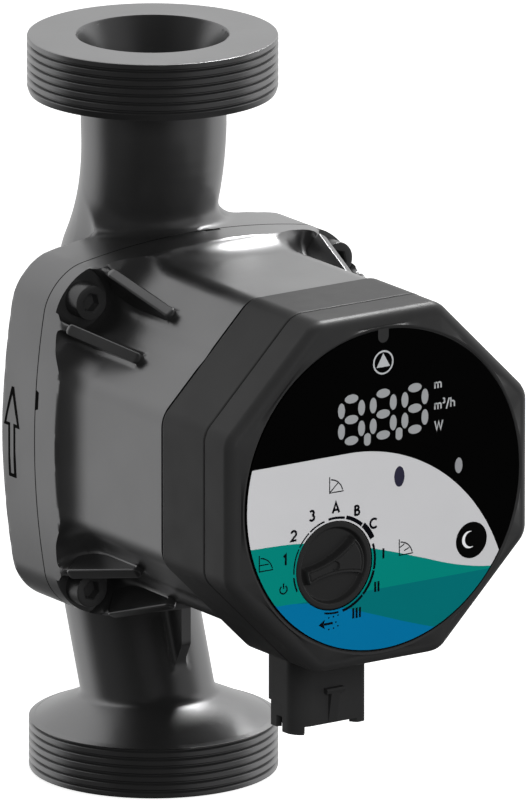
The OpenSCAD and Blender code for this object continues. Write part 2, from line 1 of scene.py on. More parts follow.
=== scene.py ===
import json
import math
import bmesh
import bpy
import numpy as np
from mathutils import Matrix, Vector


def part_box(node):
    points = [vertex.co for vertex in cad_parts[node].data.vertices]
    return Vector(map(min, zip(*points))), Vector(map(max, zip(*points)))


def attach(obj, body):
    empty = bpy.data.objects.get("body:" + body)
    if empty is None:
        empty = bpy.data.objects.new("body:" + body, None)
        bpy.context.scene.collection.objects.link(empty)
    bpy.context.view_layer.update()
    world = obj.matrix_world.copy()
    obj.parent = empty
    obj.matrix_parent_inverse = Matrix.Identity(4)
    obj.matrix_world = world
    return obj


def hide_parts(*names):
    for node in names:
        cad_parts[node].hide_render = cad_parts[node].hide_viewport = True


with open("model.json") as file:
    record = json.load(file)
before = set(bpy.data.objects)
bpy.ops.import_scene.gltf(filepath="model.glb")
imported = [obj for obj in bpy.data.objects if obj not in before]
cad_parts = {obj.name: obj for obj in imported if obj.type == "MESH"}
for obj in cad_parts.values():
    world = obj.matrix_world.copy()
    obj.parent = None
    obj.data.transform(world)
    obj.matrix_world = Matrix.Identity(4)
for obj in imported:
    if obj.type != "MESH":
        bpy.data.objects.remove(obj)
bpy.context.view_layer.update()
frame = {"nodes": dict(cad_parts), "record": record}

# Lengths are in millimetres in the pump's own local frame: x to the right, h up
# from the motor axis, d forward from the port axis. place() turns that into metres.
MM = 0.001
TAU = 2 * math.pi


# ---- Sizes, read from the CAD model ----

AXIS = sum(corner[2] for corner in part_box("rotor_shaft")) / 2 / MM


def local_box(node):
    """A CAD node's lowest and highest (x, h, d), in millimetres."""
    low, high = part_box(node)
    low, high = Vector(low) / MM, Vector(high) / MM
    return (low.x, low.z - AXIS, -high.y), (high.x, high.z - AXIS, -low.y)


PUMP_LOW, PUMP_HIGH = local_box("pump_housing")
MOTOR_LOW, MOTOR_HIGH = local_box("motor_housing")
BOLT_HIGH = local_box("flange_bolts")[1]
SHELL_LOW, SHELL_HIGH = local_box("box_rear_shell")
LABEL_LOW, LABEL_HIGH = local_box("face_label")
KNOB_LOW, KNOB_HIGH = local_box("selector_knob")
KEY_LOW, KEY_HIGH = local_box("night_button")
SOCKET_LOW, SOCKET_HIGH = local_box("power_socket")

# How far the finer meshes depart from the CAD's sizes
EDGE_ROOM = 0.08        # keeps the parting line inside the CAD's box
INTO_GAP = 1.7          # the motor body runs on into the gap behind the box
BOX_TRIM = 0.75         # the box is this much slimmer on each side

FLANGE_HALF = MOTOR_HIGH[0] - EDGE_ROOM
PARTING = MOTOR_LOW[2]
MOTOR_END = MOTOR_HIGH[2] + INTO_GAP
FACE_H = PUMP_HIGH[1]
BOX_HALF = SHELL_HIGH[0]
BOX_BACK = SHELL_LOW[2]
BOX_SPLIT = SHELL_HIGH[2]
BOX_FRONT = LABEL_HIGH[2]
LABEL_R = LABEL_HIGH[0]
LABEL_BACK = LABEL_LOW[2]
BOLT_HEAD_R = 4.25
BOLT_AT = BOLT_HIGH[0] - BOLT_HEAD_R
BOLT_FACE = BOLT_HIGH[2]
BOLT_SEAT = BOLT_FACE - 5
KNOB_R = (KNOB_HIGH[0] - KNOB_LOW[0]) / 2
KNOB_AT = ((KNOB_LOW[0] + KNOB_HIGH[0]) / 2, (KNOB_LOW[1] + KNOB_HIGH[1]) / 2)
KEY_R = 4.3
KEY_AT = ((KEY_LOW[0] + KEY_HIGH[0]) / 2, (KEY_LOW[1] + KEY_HIGH[1]) / 2)

# Shapes that the CAD boxes don't tell
SIDE_R = 180
CORNER_R = 8
FLANGE_BACK = 2.9
RIM_FRONT = 25.1
MOTOR_HALF = 42.3
MOTOR_BOTTOM = 37
THREAD_R = 29.8
RING_H = 13.4
NECK_R = 16.8
NECK_BORE_R = 13
PORT_BORE_R = 18


def linked(name, data):
    """A new object in the scene."""
    made = bpy.data.objects.new(name, data)
    bpy.context.scene.collection.objects.link(made)
    return made


def place(x, h, d):
    return Vector((x, -d, h + AXIS)) * MM


def placed(points):
    """Many local points at once, as a list of metre coordinates."""
    points = np.asarray(points, dtype=float)
    world = np.stack([points[:, 0], -points[:, 2], points[:, 1] + AXIS], axis=1) * MM
    return world.tolist()


# ---- Materials ----

def new_material(name):
    material = bpy.data.materials.new(name)
    material.use_nodes = True
    shader = material.node_tree.nodes["Principled BSDF"]
    return material, material.node_tree, shader


def add_noise(tree, scale, detail):
    """Procedural noise on the object's own coordinates."""
    coords = tree.nodes.new("ShaderNodeTexCoord")
    noise = tree.nodes.new("ShaderNodeTexNoise")
    noise.inputs["Scale"].default_value = scale
    noise.inputs["Detail"].default_value = detail
    tree.links.new(coords.outputs["Object"], noise.inputs["Vector"])
    return noise.outputs["Fac"]


def add_bump(tree, shader, scale, strength, distance):
    """A fine procedural relief."""
    bump = tree.nodes.new("ShaderNodeBump")
    bump.inputs["Strength"].default_value = strength
    bump.inputs["Distance"].default_value = distance
    tree.links.new(add_noise(tree, scale, 3.0), bump.inputs["Height"])
    tree.links.new(bump.outputs["Normal"], shader.inputs["Normal"])


def vary(tree, shader, socket, low, high, scale):
    """Lets a colour drift between low and high over the surface."""
    ramp = tree.nodes.new("ShaderNodeValToRGB")
    for element, position, color in zip(ramp.color_ramp.elements, (0.35, 0.65), (low, high)):
        element.position = position
        element.color = (*color, 1)
    tree.links.new(add_noise(tree, scale, 4.0), ramp.inputs["Fac"])
    tree.links.new(ramp.outputs["Color"], shader.inputs[socket])


def grey(value):
    return (value, value, value * 1.01)


def surface(name, low, high, rough, metallic=0.0, grain=None, specular=0.5, spots=60.0):
    """A material whose colour (a plain number is a grey) and roughness drift slightly."""
    material, tree, shader = new_material(name)
    shader.inputs["Metallic"].default_value = metallic
    shader.inputs["Specular IOR Level"].default_value = specular
    low, high = (grey(level) if isinstance(level, float) else level for level in (low, high))
    vary(tree, shader, "Base Color", low, high, spots)
    vary(tree, shader, "Roughness", [rough[0]] * 3, [rough[1]] * 3, spots * 2)
    if grain:
        add_bump(tree, shader, *grain)
    return material


PLASTIC_GRAIN = (2600, 0.10, 0.0001)
PAINT = surface("cast_paint", 0.215, 0.235, (0.28, 0.32), 0.95, (1100, 0.05, 0.0002))
BOX_PLASTIC = surface("box_plastic", 0.024, 0.027, (0.42, 0.48), 0.0, PLASTIC_GRAIN, 0.32)
SOCKET_PLASTIC = surface("socket_plastic", 0.020, 0.023, (0.45, 0.5), 0.0, PLASTIC_GRAIN, 0.25)
# Black rubber for the seals and gasket, also used as painted shade in the flow arrow's groove and the drain
# notches' openings.
RUBBER_AND_SHADE = surface("seal_rubber", 0.001, 0.002, (0.7, 0.8), 0.0, (900, 0.2, 0.0001), 0.1)
BLACK_OXIDE = surface("black_oxide", 0.09, 0.115, (0.30, 0.38), 0.85, (1500, 0.1, 0.0001))
LABEL_BLACK = surface("label_black", 0.0004, 0.0006, (0.5, 0.55), 0.0, None, 0.05)
KNOB_PLASTIC = surface("knob_plastic", 0.013, 0.016, (0.36, 0.42), 0.0, PLASTIC_GRAIN, 0.5)
KEY_PLASTIC = surface("key_plastic", 0.0006, 0.0009, (0.4, 0.45), 0.0, None, 0.1)


def srgb(*levels):
    """A linear colour from the 0 to 255 levels it shows on screen."""
    return tuple((c / 255 / 12.92) if c < 11 else ((c / 255 + 0.055) / 1.055) ** 2.4 for c in levels)


def ink(name, *levels):
    color = srgb(*levels)
    return surface(name, tuple(0.97 * c for c in color), color, (0.5, 0.55), specular=0.1)


INK_GREY = ink("ink_grey", 196, 196, 198)
INK_WHITE = ink("ink_white", 228, 229, 231)
INK_GREEN = ink("ink_green", 0, 128, 118)
INK_TEAL = ink("ink_teal", 0, 108, 112)
INK_BLUE = ink("ink_blue", 0, 109, 156)
INK_BLACK = ink("ink_black", 4, 5, 10)
INK_UNIT = ink("ink_unit", 176, 178, 180)
INK_DIGIT = ink("ink_digit", 150, 152, 154)
LENS = surface("light_guide", srgb(140, 141, 144), srgb(148, 149, 152), (0.2, 0.25))
LENS_DARK = surface("light_guide_dark", srgb(34, 32, 52), srgb(40, 38, 58), (0.2, 0.25))


# Materials of the CAD nodes that stay as they are, by material slot
CAD_LOOKS = {
    "pump_paint": PAINT,
    "motor_paint": PAINT,
    "steel": surface("steel", 0.45, 0.55, (0.25, 0.35), 1.0),
    "bolt_steel": BLACK_OXIDE,
    "seal_rubber": RUBBER_AND_SHADE,
    "carbon": surface("carbon", 0.02, 0.03, (0.4, 0.5)),
    "ceramic": surface("ceramic", (0.75, 0.74, 0.70), (0.8, 0.79, 0.75), (0.15, 0.2)),
    "laminations": surface("laminations", 0.28, 0.34, (0.4, 0.5), 0.9),
    "insulation": surface("insulation", (0.6, 0.58, 0.5), (0.66, 0.64, 0.56), (0.4, 0.5)),
    "winding_copper": surface("copper", (0.55, 0.2, 0.07), (0.62, 0.25, 0.1), (0.25, 0.35), 1.0),
    "magnet": surface("magnet", 0.12, 0.16, (0.4, 0.5), 0.8),
    "impeller_plastic": surface("impeller", (0.42, 0.4, 0.32), (0.46, 0.44, 0.36), (0.4, 0.5)),
    "box_plastic": BOX_PLASTIC,
    "label_film": LABEL_BLACK,
    "circuit_board": surface("board", (0.01, 0.08, 0.04), (0.015, 0.1, 0.05), (0.35, 0.45)),
    "capacitor_sleeve": surface("capacitor", (0.02, 0.03, 0.05), (0.03, 0.04, 0.06), (0.3, 0.4)),
    "chip_plastic": surface("chip", 0.012, 0.018, (0.5, 0.6)),
    "heat_pad": surface("heat_pad", (0.12, 0.13, 0.16), (0.14, 0.15, 0.18), (0.7, 0.8)),
    "contact_brass": surface("contact", (0.6, 0.42, 0.16), (0.66, 0.47, 0.2), (0.25, 0.35), 1.0),
    "display_plastic": surface("display", 0.006, 0.009, (0.15, 0.2)),
    "led_lens": LENS,
    "knob_plastic": KNOB_PLASTIC,
    "spindle_plastic": surface("spindle", 0.35, 0.4, (0.4, 0.5)),
    "button_plastic": KNOB_PLASTIC,
}


def dress_cad_nodes():
    slots = {part["node"]: part["material_slot"] for part in frame["record"]["subparts"]}
    for name, piece in frame["nodes"].items():
        look = CAD_LOOKS[slots[name]]
        if not piece.material_slots:
            piece.data.materials.append(look)
        for slot in piece.material_slots:
            slot.material = look


# ---- Mesh helpers ----

def make_piece(name, shape, material, body="housing", smooth=38, weigh=True):
    """A mesh from (local points, faces), smooth shaded except at edges sharper than the angle given."""
    points, faces = shape
    mesh = bpy.data.meshes.new(name)
    mesh.from_pydata(placed(points), [], [list(f) for f in faces])
    mesh.validate()
    mesh.materials.append(material)
    if smooth:
        mesh.shade_smooth()
        mesh.set_sharp_from_angle(angle=math.radians(smooth))
    piece = linked(name, mesh)
    if weigh:
        normals = piece.modifiers.new("even_normals", "WEIGHTED_NORMAL")
        normals.keep_sharp = True
    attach(piece, body)
    return piece


def weld(piece):
    """Joins points that lie in one place, and drops the faces that this closes."""
    work = bmesh.new()
    work.from_mesh(piece.data)
    bmesh.ops.remove_doubles(work, verts=work.verts, dist=0.002 * MM)
    work.to_mesh(piece.data)
    work.free()


def loft(loops, closed=True, start=True, end=True):
    """Points and faces of a skin through loops that all have the same number of points."""
    count = len(loops[0])
    points = [p for loop in loops for p in loop]
    faces = []
    for k in range(len(loops) - 1):
        for i in range(count if closed else count - 1):
            j = (i + 1) % count
            faces.append((k * count + i, k * count + j, (k + 1) * count + j, (k + 1) * count + i))
    if start:
        faces.append(tuple(range(count - 1, -1, -1)))
    if end:
        faces.append(tuple(range((len(loops) - 1) * count, len(loops) * count)))
    return points, faces


def arc(cx, cy, r, start, stop, steps):
    angles = np.radians(np.linspace(start, stop, steps + 1))
    return [(cx + r * math.cos(a), cy + r * math.sin(a)) for a in angles]


def octagon_loop(half, corner_r, d, steps=8, along=10):
    """An upright octagon with round corners, at forward distance d."""
    reach = (half - corner_r) / math.cos(math.radians(22.5))
    bends = []
    for q in range(8):
        mid = math.radians(22.5 + 45 * q)
        bends.append(arc(reach * math.cos(mid), reach * math.sin(mid), corner_r, 45 * q, 45 * q + 45, steps))
    loop = []
    for bend, following in zip(bends, bends[1:] + bends[:1]):
        loop += bend
        start, end = Vector(bend[-1]), Vector(following[0])
        loop += [tuple(start.lerp(end, i / along)) for i in range(1, along)]
    return [(x, h, d) for x, h in loop]


def circle_like(loop, r, d):
    """A circle whose points lie at the same angles as those of another loop."""
    angles = [math.atan2(h, x) for x, h, _ in loop]
    return [(r * math.cos(a), r * math.sin(a), d) for a in angles]


def circle_loop(centre, r, d, count=96):
    return [(x, h, d) for x, h in oval(*centre, 2 * r, 2 * r, count)]


def lathe_front(centre, profile, count=96):
    """A turned shape about a forward axis; the profile is (radius, d) pairs."""
    return loft([circle_loop(centre, max(r, 0.01), d, count) for r, d in profile])


def closed_ring(loops):
    """A tube-like skin: the last loop joins the first."""
    points, faces = loft(loops, start=False, end=False)
    count, last = len(loops[0]), (len(loops) - 1) * len(loops[0])
    for i in range(count):
        j = (i + 1) % count
        faces.append((last + i, last + j, j, i))
    return points, faces


# ---- Castings: distance fields turned into meshes ----

def smooth_min(a, b, k):
    t = np.clip(0.5 + 0.5 * (b - a) / k, 0, 1)
    return b + (a - b) * t - k * t * (1 - t)


def smooth_max(a, b, k):
    return -smooth_min(-a, -b, k)


def bulged_square(x, h, half):
    """Distance to a square with bulging sides and round corners."""
    offset = SIDE_R - half
    across = np.hypot(np.abs(x) + offset, h) - (SIDE_R - CORNER_R)
    up = np.hypot(x, np.abs(h) + offset) - (SIDE_R - CORNER_R)
    outside = np.hypot(np.maximum(across, 0), np.maximum(up, 0))
    return outside + np.minimum(np.maximum(across, up), 0) - CORNER_R


def octagon(x, h, half, soft):
    straight = np.maximum(np.abs(x), np.abs(h))
    diagonal = (np.abs(x) + np.abs(h)) / math.sqrt(2)
    return smooth_max(straight, diagonal, soft) - half


def pipe(x, h, d, path, r):
    """Distance to a round pipe of radius r along (h, d) points in the middle plane."""
    best = None
    for (h0, d0), (h1, d1) in zip(path, path[1:]):
        run_h, run_d = h1 - h0, d1 - d0
        t = np.clip(((h - h0) * run_h + (d - d0) * run_d) / (run_h ** 2 + run_d ** 2), 0, 1)
        gap = np.sqrt(x ** 2 + (h - h0 - t * run_h) ** 2 + (d - d0 - t * run_d) ** 2) - r
        best = gap if best is None else np.minimum(best, gap)
    return best


# Centre lines of the necks as (h, d): the upper one curves back on its way down
UPPER_BEND_R = 57
UPPER_STRAIGHT = 66.4
UPPER_PATH = [(FACE_H, 0.4)] + [
    (UPPER_STRAIGHT - UPPER_BEND_R * math.sin(math.radians(a)),
     0.4 - UPPER_BEND_R * (1 - math.cos(math.radians(a)))) for a in range(0, 31, 3)] + [(34, -9.4), (14, -2)]
LOWER_LEAN = math.tan(math.radians(18.7))
LOWER_START = -79
LOWER_PATH = [(-FACE_H, 0), (LOWER_START, 0), (-40, (LOWER_START + 40) * LOWER_LEAN), (-18, -3)]


def port_ring_back(x, h, d, side):
    """The inner part of a port ring: a flat back above, a sloping shoulder below."""
    r = np.hypot(x, d)
    if side > 0:
        return np.maximum(np.maximum(r - 28.2, FACE_H - RING_H - 0.3 - h), h - FACE_H + 1)
    slope = np.maximum(r - 28.6, (h + 77.2 + (r - 28.0) * 0.45) / math.hypot(1, 0.45))
    return np.maximum(slope, -h - FACE_H + 1)


def waterway(x, h, d):
    inner = np.minimum(pipe(x, h, d, UPPER_PATH, NECK_BORE_R), pipe(x, h, d, LOWER_PATH, NECK_BORE_R))
    r = np.hypot(x, d)
    taper = r - NECK_BORE_R - (np.abs(h) - FACE_H + 12) * (PORT_BORE_R - NECK_BORE_R) / 12
    inner = np.minimum(inner, np.maximum(taper, FACE_H - 12 - np.abs(h)))
    chamber = np.maximum(np.hypot(x, h) - 34, 2 - d)
    return np.minimum(inner, chamber)


# The web in front of the lower neck; it has no rear limit, so a fin shows behind the neck too
WEB_HALF = 1.3
WEB_FRONT = 14
WEB_MIDDLE, WEB_REACH = 52, 12.5


def pump_casting(x, h, d):
    plate = smooth_max(bulged_square(x, h, FLANGE_HALF), FLANGE_BACK - d, 0.9)
    bowl = (np.sqrt((x / 39) ** 2 + (h / 39) ** 2 + ((d - 2) / 27) ** 2) - 1) * 27
    body = smooth_min(plate, bowl, 6)
    lower = smooth_min(pipe(x, h, d, LOWER_PATH, NECK_R - 0.9), port_ring_back(x, h, d, -1), 1.4)
    upper_r = NECK_R - 0.4 + 0.9 * np.clip((h - 42) / 26, 0, 1)
    upper = smooth_min(pipe(x, h, d, UPPER_PATH, upper_r), port_ring_back(x, h, d, 1), 2.4)
    web_front = WEB_FRONT + np.minimum(h + 57, 0) * 0.5
    web = np.maximum(np.maximum(np.abs(x) - WEB_HALF, d - web_front), np.abs(h + WEB_MIDDLE) - WEB_REACH)
    body = smooth_min(body, upper, 5 + 5 * np.clip(0.5 - d / 16, 0, 1))
    body = smooth_min(body, lower, 6)
    body = smooth_min(body, web, 1.8)
    body = np.maximum(body, np.minimum(d - PARTING, 46 - np.abs(h)))
    body = np.maximum(body, np.abs(x) - FLANGE_HALF)
    body = smooth_max(body, PUMP_LOW[2] + 0.4 - d, 2)
    return np.maximum(body, -waterway(x, h, d))


# Gussets run from the flange corners up to the motor body
RIB_ROOT = (42, 30)
RIB_TIP = (35, 25.8)
RIB_FRONT = 47
RIB_HALF = 1.4
RIB_PROUD = 1.0
SWEEP = 14              # how far the concave sweep runs from rim to body
SWEEP_FROM = 21.4
CORNER_FRONT = 22.9
POCKET_R = 7.4


def ribs(x, h, d):
    """All eight gussets, by folding the space onto one of them."""
    x, h = np.abs(x), np.abs(h)
    x, h = np.maximum(x, h), np.minimum(x, h)
    run = (RIB_TIP[0] - RIB_ROOT[0], RIB_TIP[1] - RIB_ROOT[1])
    length = math.hypot(*run)
    along = ((x - RIB_ROOT[0]) * run[0] + (h - RIB_ROOT[1]) * run[1]) / length
    across = ((x - RIB_ROOT[0]) * run[1] - (h - RIB_ROOT[1]) * run[0]) / length
    rise = RIB_FRONT - RIM_FRONT
    slope = math.hypot(length, rise)
    top = ((d - RIM_FRONT) * length - along * rise) / slope - RIB_PROUD
    end = (along * length + (d - RIM_FRONT) * rise) / slope - slope
    rib = smooth_max(np.abs(across) - RIB_HALF + 0.35, top + 0.6, 0.9)
    return np.maximum(rib, np.maximum(end + 1.2, -along - 1.5))


def motor_casting(x, h, d):
    outline = bulged_square(x, h, FLANGE_HALF)
    body = smooth_max(octagon(x, h, MOTOR_HALF, 2.2), -h - MOTOR_BOTTOM, 4)
    shape = smooth_min(d - SWEEP_FROM, body, SWEEP)
    shape = smooth_min(shape, d - CORNER_FRONT, 1.2)
    corner = np.hypot(np.abs(x) - BOLT_AT, np.abs(h) - BOLT_AT)
    pocket = np.maximum(corner - POCKET_R, BOLT_SEAT - d)
    shape = smooth_max(shape, -pocket, 0.8)
    shape = smooth_min(shape, ribs(x, h, d), 1.8)
    head_room = np.maximum(corner - BOLT_HEAD_R - 0.8, BOLT_SEAT - d)
    shape = np.maximum(shape, -head_room)
    shape = np.maximum(shape, outline)
    shape = np.maximum(shape, PARTING - d)
    shape = np.maximum(shape, d - MOTOR_END)
    bore = np.maximum(np.hypot(x, h) - 34.1, d - 61.4)
    return np.maximum(shape, -bore)


def slope_of(field, points, reach=0.04):
    """The field's unit normals, and how fast it grows along them."""
    slopes = []
    for axis in range(3):
        step = np.zeros(3)
        step[axis] = reach
        slopes.append((field(*(points + step).T) - field(*(points - step).T)) / (2 * reach))
    slopes = np.stack(slopes, axis=1)
    rate = np.maximum(np.linalg.norm(slopes, axis=1, keepdims=True), 1e-6)
    return slopes / rate, rate


def dual_contour(field, low, high, step):
    """A quad mesh of the surface where the field is zero, with its creases kept."""
    axes = [np.arange(low[i], high[i] + step, step) for i in range(3)]
    values = np.stack([field(x, axes[1][:, None], axes[2][None, :]) for x in axes[0]])
    inside = values < 0
    shape = np.array(values.shape)
    edge_points, edge_cells, flips = [], [], []
    for a in range(3):
        b, c = (a + 1) % 3, (a + 2) % 3
        first = [slice(None)] * 3
        second = [slice(None)] * 3
        first[a], second[a] = slice(0, -1), slice(1, None)
        hits = np.argwhere(inside[tuple(first)] != inside[tuple(second)])
        inner = (hits[:, b] > 0) & (hits[:, c] > 0)
        inner &= (hits[:, b] < shape[b] - 1) & (hits[:, c] < shape[c] - 1)
        hits = hits[inner]
        ahead = hits.copy()
        ahead[:, a] += 1
        v0, v1 = values[tuple(hits.T)], values[tuple(ahead.T)]
        at = hits.astype(float)
        at[:, a] += v0 / (v0 - v1)
        edge_points.append(np.array(low) + at * step)
        cells = []
        for db, dc in ((-1, -1), (0, -1), (0, 0), (-1, 0)):
            cell = hits.copy()
            cell[:, b] += db
            cell[:, c] += dc
            cells.append(np.ravel_multi_index(tuple(cell.T), shape))
        edge_cells.append(np.stack(cells, axis=1))
        flips.append(v0 > 0)
    points = np.concatenate(edge_points)
    cells = np.concatenate(edge_cells)
    flip = np.concatenate(flips)
    normals, rate = slope_of(field, points)
    points = points - normals * field(*points.T)[:, None] / rate
    normals = slope_of(field, points)[0]
    keys, owner = np.unique(cells.ravel(), return_inverse=True)
    owner = owner.reshape(-1)
    edge = np.repeat(np.arange(len(points)), 4)
    total = np.bincount(owner, minlength=len(keys)).astype(float)
    sums = [np.bincount(owner, points[edge, i], len(keys)) for i in range(3)]
    mean = np.stack(sums, axis=1) / total[:, None]
    n = normals[edge]
    lean = np.sum(n * (points[edge] - mean[owner]), axis=1)
    square = np.empty((len(keys), 3, 3))
    right = np.empty((len(keys), 3, 1))
    for i in range(3):
        right[:, i, 0] = np.bincount(owner, n[:, i] * lean, len(keys))
        for j in range(3):
            square[:, i, j] = np.bincount(owner, n[:, i] * n[:, j], len(keys))
    square += np.eye(3) * 0.03
    shift = np.linalg.solve(square, right)[:, :, 0]
    far = np.linalg.norm(shift, axis=1, keepdims=True)
    shift *= np.minimum(1, step * 0.9 / np.maximum(far, 1e-9))
    quads = owner.reshape(-1, 4)
    quads = np.where(flip[:, None], quads[:, ::-1], quads)
    return mean + shift, quads


CAST_STEP = 0.78


def build_castings():
    edge = FLANGE_HALF + 1.5
    shape = dual_contour(pump_casting, (-edge, -FACE_H + 1, -32), (edge, FACE_H - 1, 30), CAST_STEP)
    pump = make_piece("pump_casting", shape, PAINT, smooth=42, weigh=False)
    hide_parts("pump_housing")
    low, high = (-edge, -edge, PARTING - 1.5), (edge, edge, MOTOR_END + 1.5)
    shape = dual_contour(motor_casting, low, high, CAST_STEP)
    motor = make_piece("motor_casting", shape, PAINT, smooth=42, weigh=False)
    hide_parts("motor_housing")


def build_rib_bars():
    """The gussets' crisp upper edges, with round corners and noses, on the casting's softer ones."""
    edge_r, sunk, nose = 0.5, 6, RIB_HALF
    points, faces = [], []
    for swap in (False, True):
        for side_x, side_h in ((1, 1), (-1, 1), (1, -1), (-1, -1)):
            ends = []
            for (x, h), d in ((RIB_ROOT, RIM_FRONT), (RIB_TIP, RIB_FRONT)):
                x, h = (h, x) if swap else (x, h)
                ends.append(Vector((side_x * x, side_h * h, d)))
            along = (ends[1] - ends[0]).normalized()
            up = (Vector((0, 0, 1)) - along * along.z).normalized()
            across = along.cross(up)
            length = (ends[1] - ends[0]).length
            loops = []
            turns = [nose * (1 - math.cos(math.pi / 2 * i / 6)) for i in range(7)]
            stations = [1.0 + t for t in turns] + [length - t for t in reversed(turns)]
            for at in stations:
                left = min(at - 1.0, length - at, nose)
                half = max(math.sqrt(max(nose ** 2 - (nose - left) ** 2, 0)), 0.05)
                drop = (nose - half) * 0.5
                r = min(edge_r, half * 0.8)
                top = RIB_PROUD - drop
                section = [(-half, -sunk)] + arc(-half + r, top - r, r, 180, 90, 4)
                section += arc(half - r, top - r, r, 90, 0, 4) + [(half, -sunk)]
                centre = ends[0] + along * at
                loops.append([tuple(centre + across * a + up * u) for a, u in section])
            bar_points, bar_faces = loft(loops)
            start = len(points)
            points += bar_points
            faces += [tuple(start + i for i in face) for face in bar_faces]
    bars = make_piece("gusset_bars", (points, faces), PAINT, smooth=30)
    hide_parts("motor_housing")


# ---- Port rings ----

GROOVES = 6
GROOVE_PITCH = 2.0
FIRST_GROOVE = 1.7


def ring_profile(side):
    """(radius, height below the face) round a threaded ring, from its bore outwards."""
    face_edge = 0.35
    profile = [(PORT_BORE_R - 3.0, 7.2), (PORT_BORE_R, 0.3), (PORT_BORE_R + 0.3, 0.0),
               (THREAD_R - face_edge, 0.0), (THREAD_R - 0.1, 0.1), (THREAD_R, face_edge)]
    for i in range(GROOVES):
        at = FIRST_GROOVE + i * GROOVE_PITCH
        for deep, off in ((0, -0.5), (0.12, -0.36), (0.7, -0.08), (0.7, 0.08), (0.12, 0.36), (0, 0.5)):
            profile.append((THREAD_R - deep, at + off))
    if side > 0:
        profile += [(THREAD_R - 0.3, RING_H - 0.1), (THREAD_R - 0.55, RING_H + 0.4), (24, RING_H + 0.4),
                    (24, 6)]
    else:
        profile += [(THREAD_R - 0.3, RING_H - 1.15), (28.35, RING_H - 0.7), (27.6, RING_H - 1.5), (24, 6)]
    return profile


def build_port_rings():
    for name, side in (("upper_port_ring", 1), ("lower_port_ring", -1)):
        profile = [(r, side * (FACE_H - low)) for r, low in ring_profile(side)]
        points, faces = closed_ring_up(profile)
        if side < 0:
            faces = [tuple(reversed(f)) for f in faces]
        ring = make_piece(name, (points, faces), PAINT, smooth=30)
        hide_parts("pump_housing")


def closed_ring_up(profile, count=192):
    rings = [[(r * math.cos(TAU * i / count), h, -r * math.sin(TAU * i / count)) for i in range(count)]
             for r, h in profile]
    return closed_ring(rings)


# ---- Control box ----

WALL = 2
LEDGE = 3               # the cover's ledge under the label's edge, clear of the night key


def build_control_box():
    def oct_loop(inset, d, corner=6.0):
        return octagon_loop(BOX_HALF - BOX_TRIM - inset, max(corner - inset, 0.8), d)

    profile = ((14, BOX_BACK), (1.2, BOX_BACK), (0.35, BOX_BACK + 0.12), (0.08, BOX_BACK + 0.45),
               (0, BOX_BACK + 0.9), (0, BOX_SPLIT - 0.5), (0.05, BOX_SPLIT - 0.28), (0.2, BOX_SPLIT - 0.14),
               (WALL, BOX_SPLIT - 0.14), (WALL, BOX_BACK + WALL), (14, BOX_BACK + WALL))
    shell = [oct_loop(inset, d) for inset, d in profile]
    rear = make_piece("control_box_shell", closed_ring(shell), BOX_PLASTIC)
    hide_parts("box_rear_shell")

    rim = circle_like(oct_loop(0, 0), LABEL_R + 0.9, BOX_FRONT - 0.02)
    edge = ((WALL, BOX_SPLIT + 0.1), (0.28, BOX_SPLIT + 0.1), (0.13, BOX_SPLIT + 0.24),
            (0.08, BOX_SPLIT + 0.46), (0.1, 92.5), (0.2, 93.3), (0.62, 94.3), (1.3, 95.0), (1.9, 95.35),
            (2.4, 95.5), (3.2, 95.62))
    seat = ((0.55, BOX_FRONT - 0.04), (0.3, BOX_FRONT - 0.25), (0.3, LABEL_BACK), (-LEDGE, LABEL_BACK),
            (-LEDGE, LABEL_BACK - 1.5))
    cover = [oct_loop(inset, d) for inset, d in edge] + [rim]
    cover += [circle_like(rim, LABEL_R + more, d) for more, d in seat] + [oct_loop(WALL + 1.5, 92.2)]
    front = make_piece("control_box_cover", closed_ring(cover), BOX_PLASTIC)
    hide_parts("box_cover")

    seal = []
    back, front = MOTOR_END - 0.4, BOX_BACK + 0.3
    for inset, d in ((2.2, back), (2.2, front), (6, front), (6, back)):
        lowest = -MOTOR_BOTTOM + inset - 0.6
        seal.append([(x, max(h, lowest), d) for x, h, d in octagon_loop(BOX_HALF - inset, 4, d)])
    band = make_piece("box_gap_seal", closed_ring(seal), RUBBER_AND_SHADE)
    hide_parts("box_seal")


# ---- Bolts, parting line and cast marks ----

def build_bolts():
    """Four socket head screws with a chamfered head and a hexagon socket."""
    hexagon = 2.31
    for i, (side_x, side_h) in enumerate(((-1, 1), (1, 1), (-1, -1), (1, -1))):
        centre = (side_x * BOLT_AT, side_h * BOLT_AT)

        def hex_loop(r, d, count=96):
            loop = []
            for k in range(count):
                angle = TAU * k / count
                reach = r * math.cos(math.pi / 6) / math.cos((angle + 0.3) % (math.pi / 3) - math.pi / 6)
                loop.append((centre[0] + reach * math.cos(angle), centre[1] + reach * math.sin(angle), d))
            return loop

        rounds = [(BOLT_HEAD_R, BOLT_SEAT), (BOLT_HEAD_R, BOLT_FACE - 0.35),
                  (BOLT_HEAD_R - 0.1, BOLT_FACE - 0.12), (BOLT_HEAD_R - 0.35, BOLT_FACE)]
        loops = [circle_loop(centre, r, d) for r, d in rounds]
        loops += [hex_loop(hexagon + 0.35, BOLT_FACE), hex_loop(hexagon, BOLT_FACE - 0.3),
                  hex_loop(hexagon, BOLT_FACE - 2.6)]
        bolt = make_piece("flange_bolt_%d" % (i + 1), loft(loops), BLACK_OXIDE, smooth=30)
        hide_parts("flange_bolts")


def outline_point(angle, proud=0.0):
    """The flange outline's point in a direction, found by halving."""
    low, high = FLANGE_HALF * 0.8, FLANGE_HALF * 1.5
    for _ in range(30):
        mid = (low + high) / 2
        if bulged_square(mid * math.cos(angle), mid * math.sin(angle), FLANGE_HALF) < 0:
            low = mid
        else:
            high = mid
    reach = low + proud
    return reach * math.cos(angle), reach * math.sin(angle)


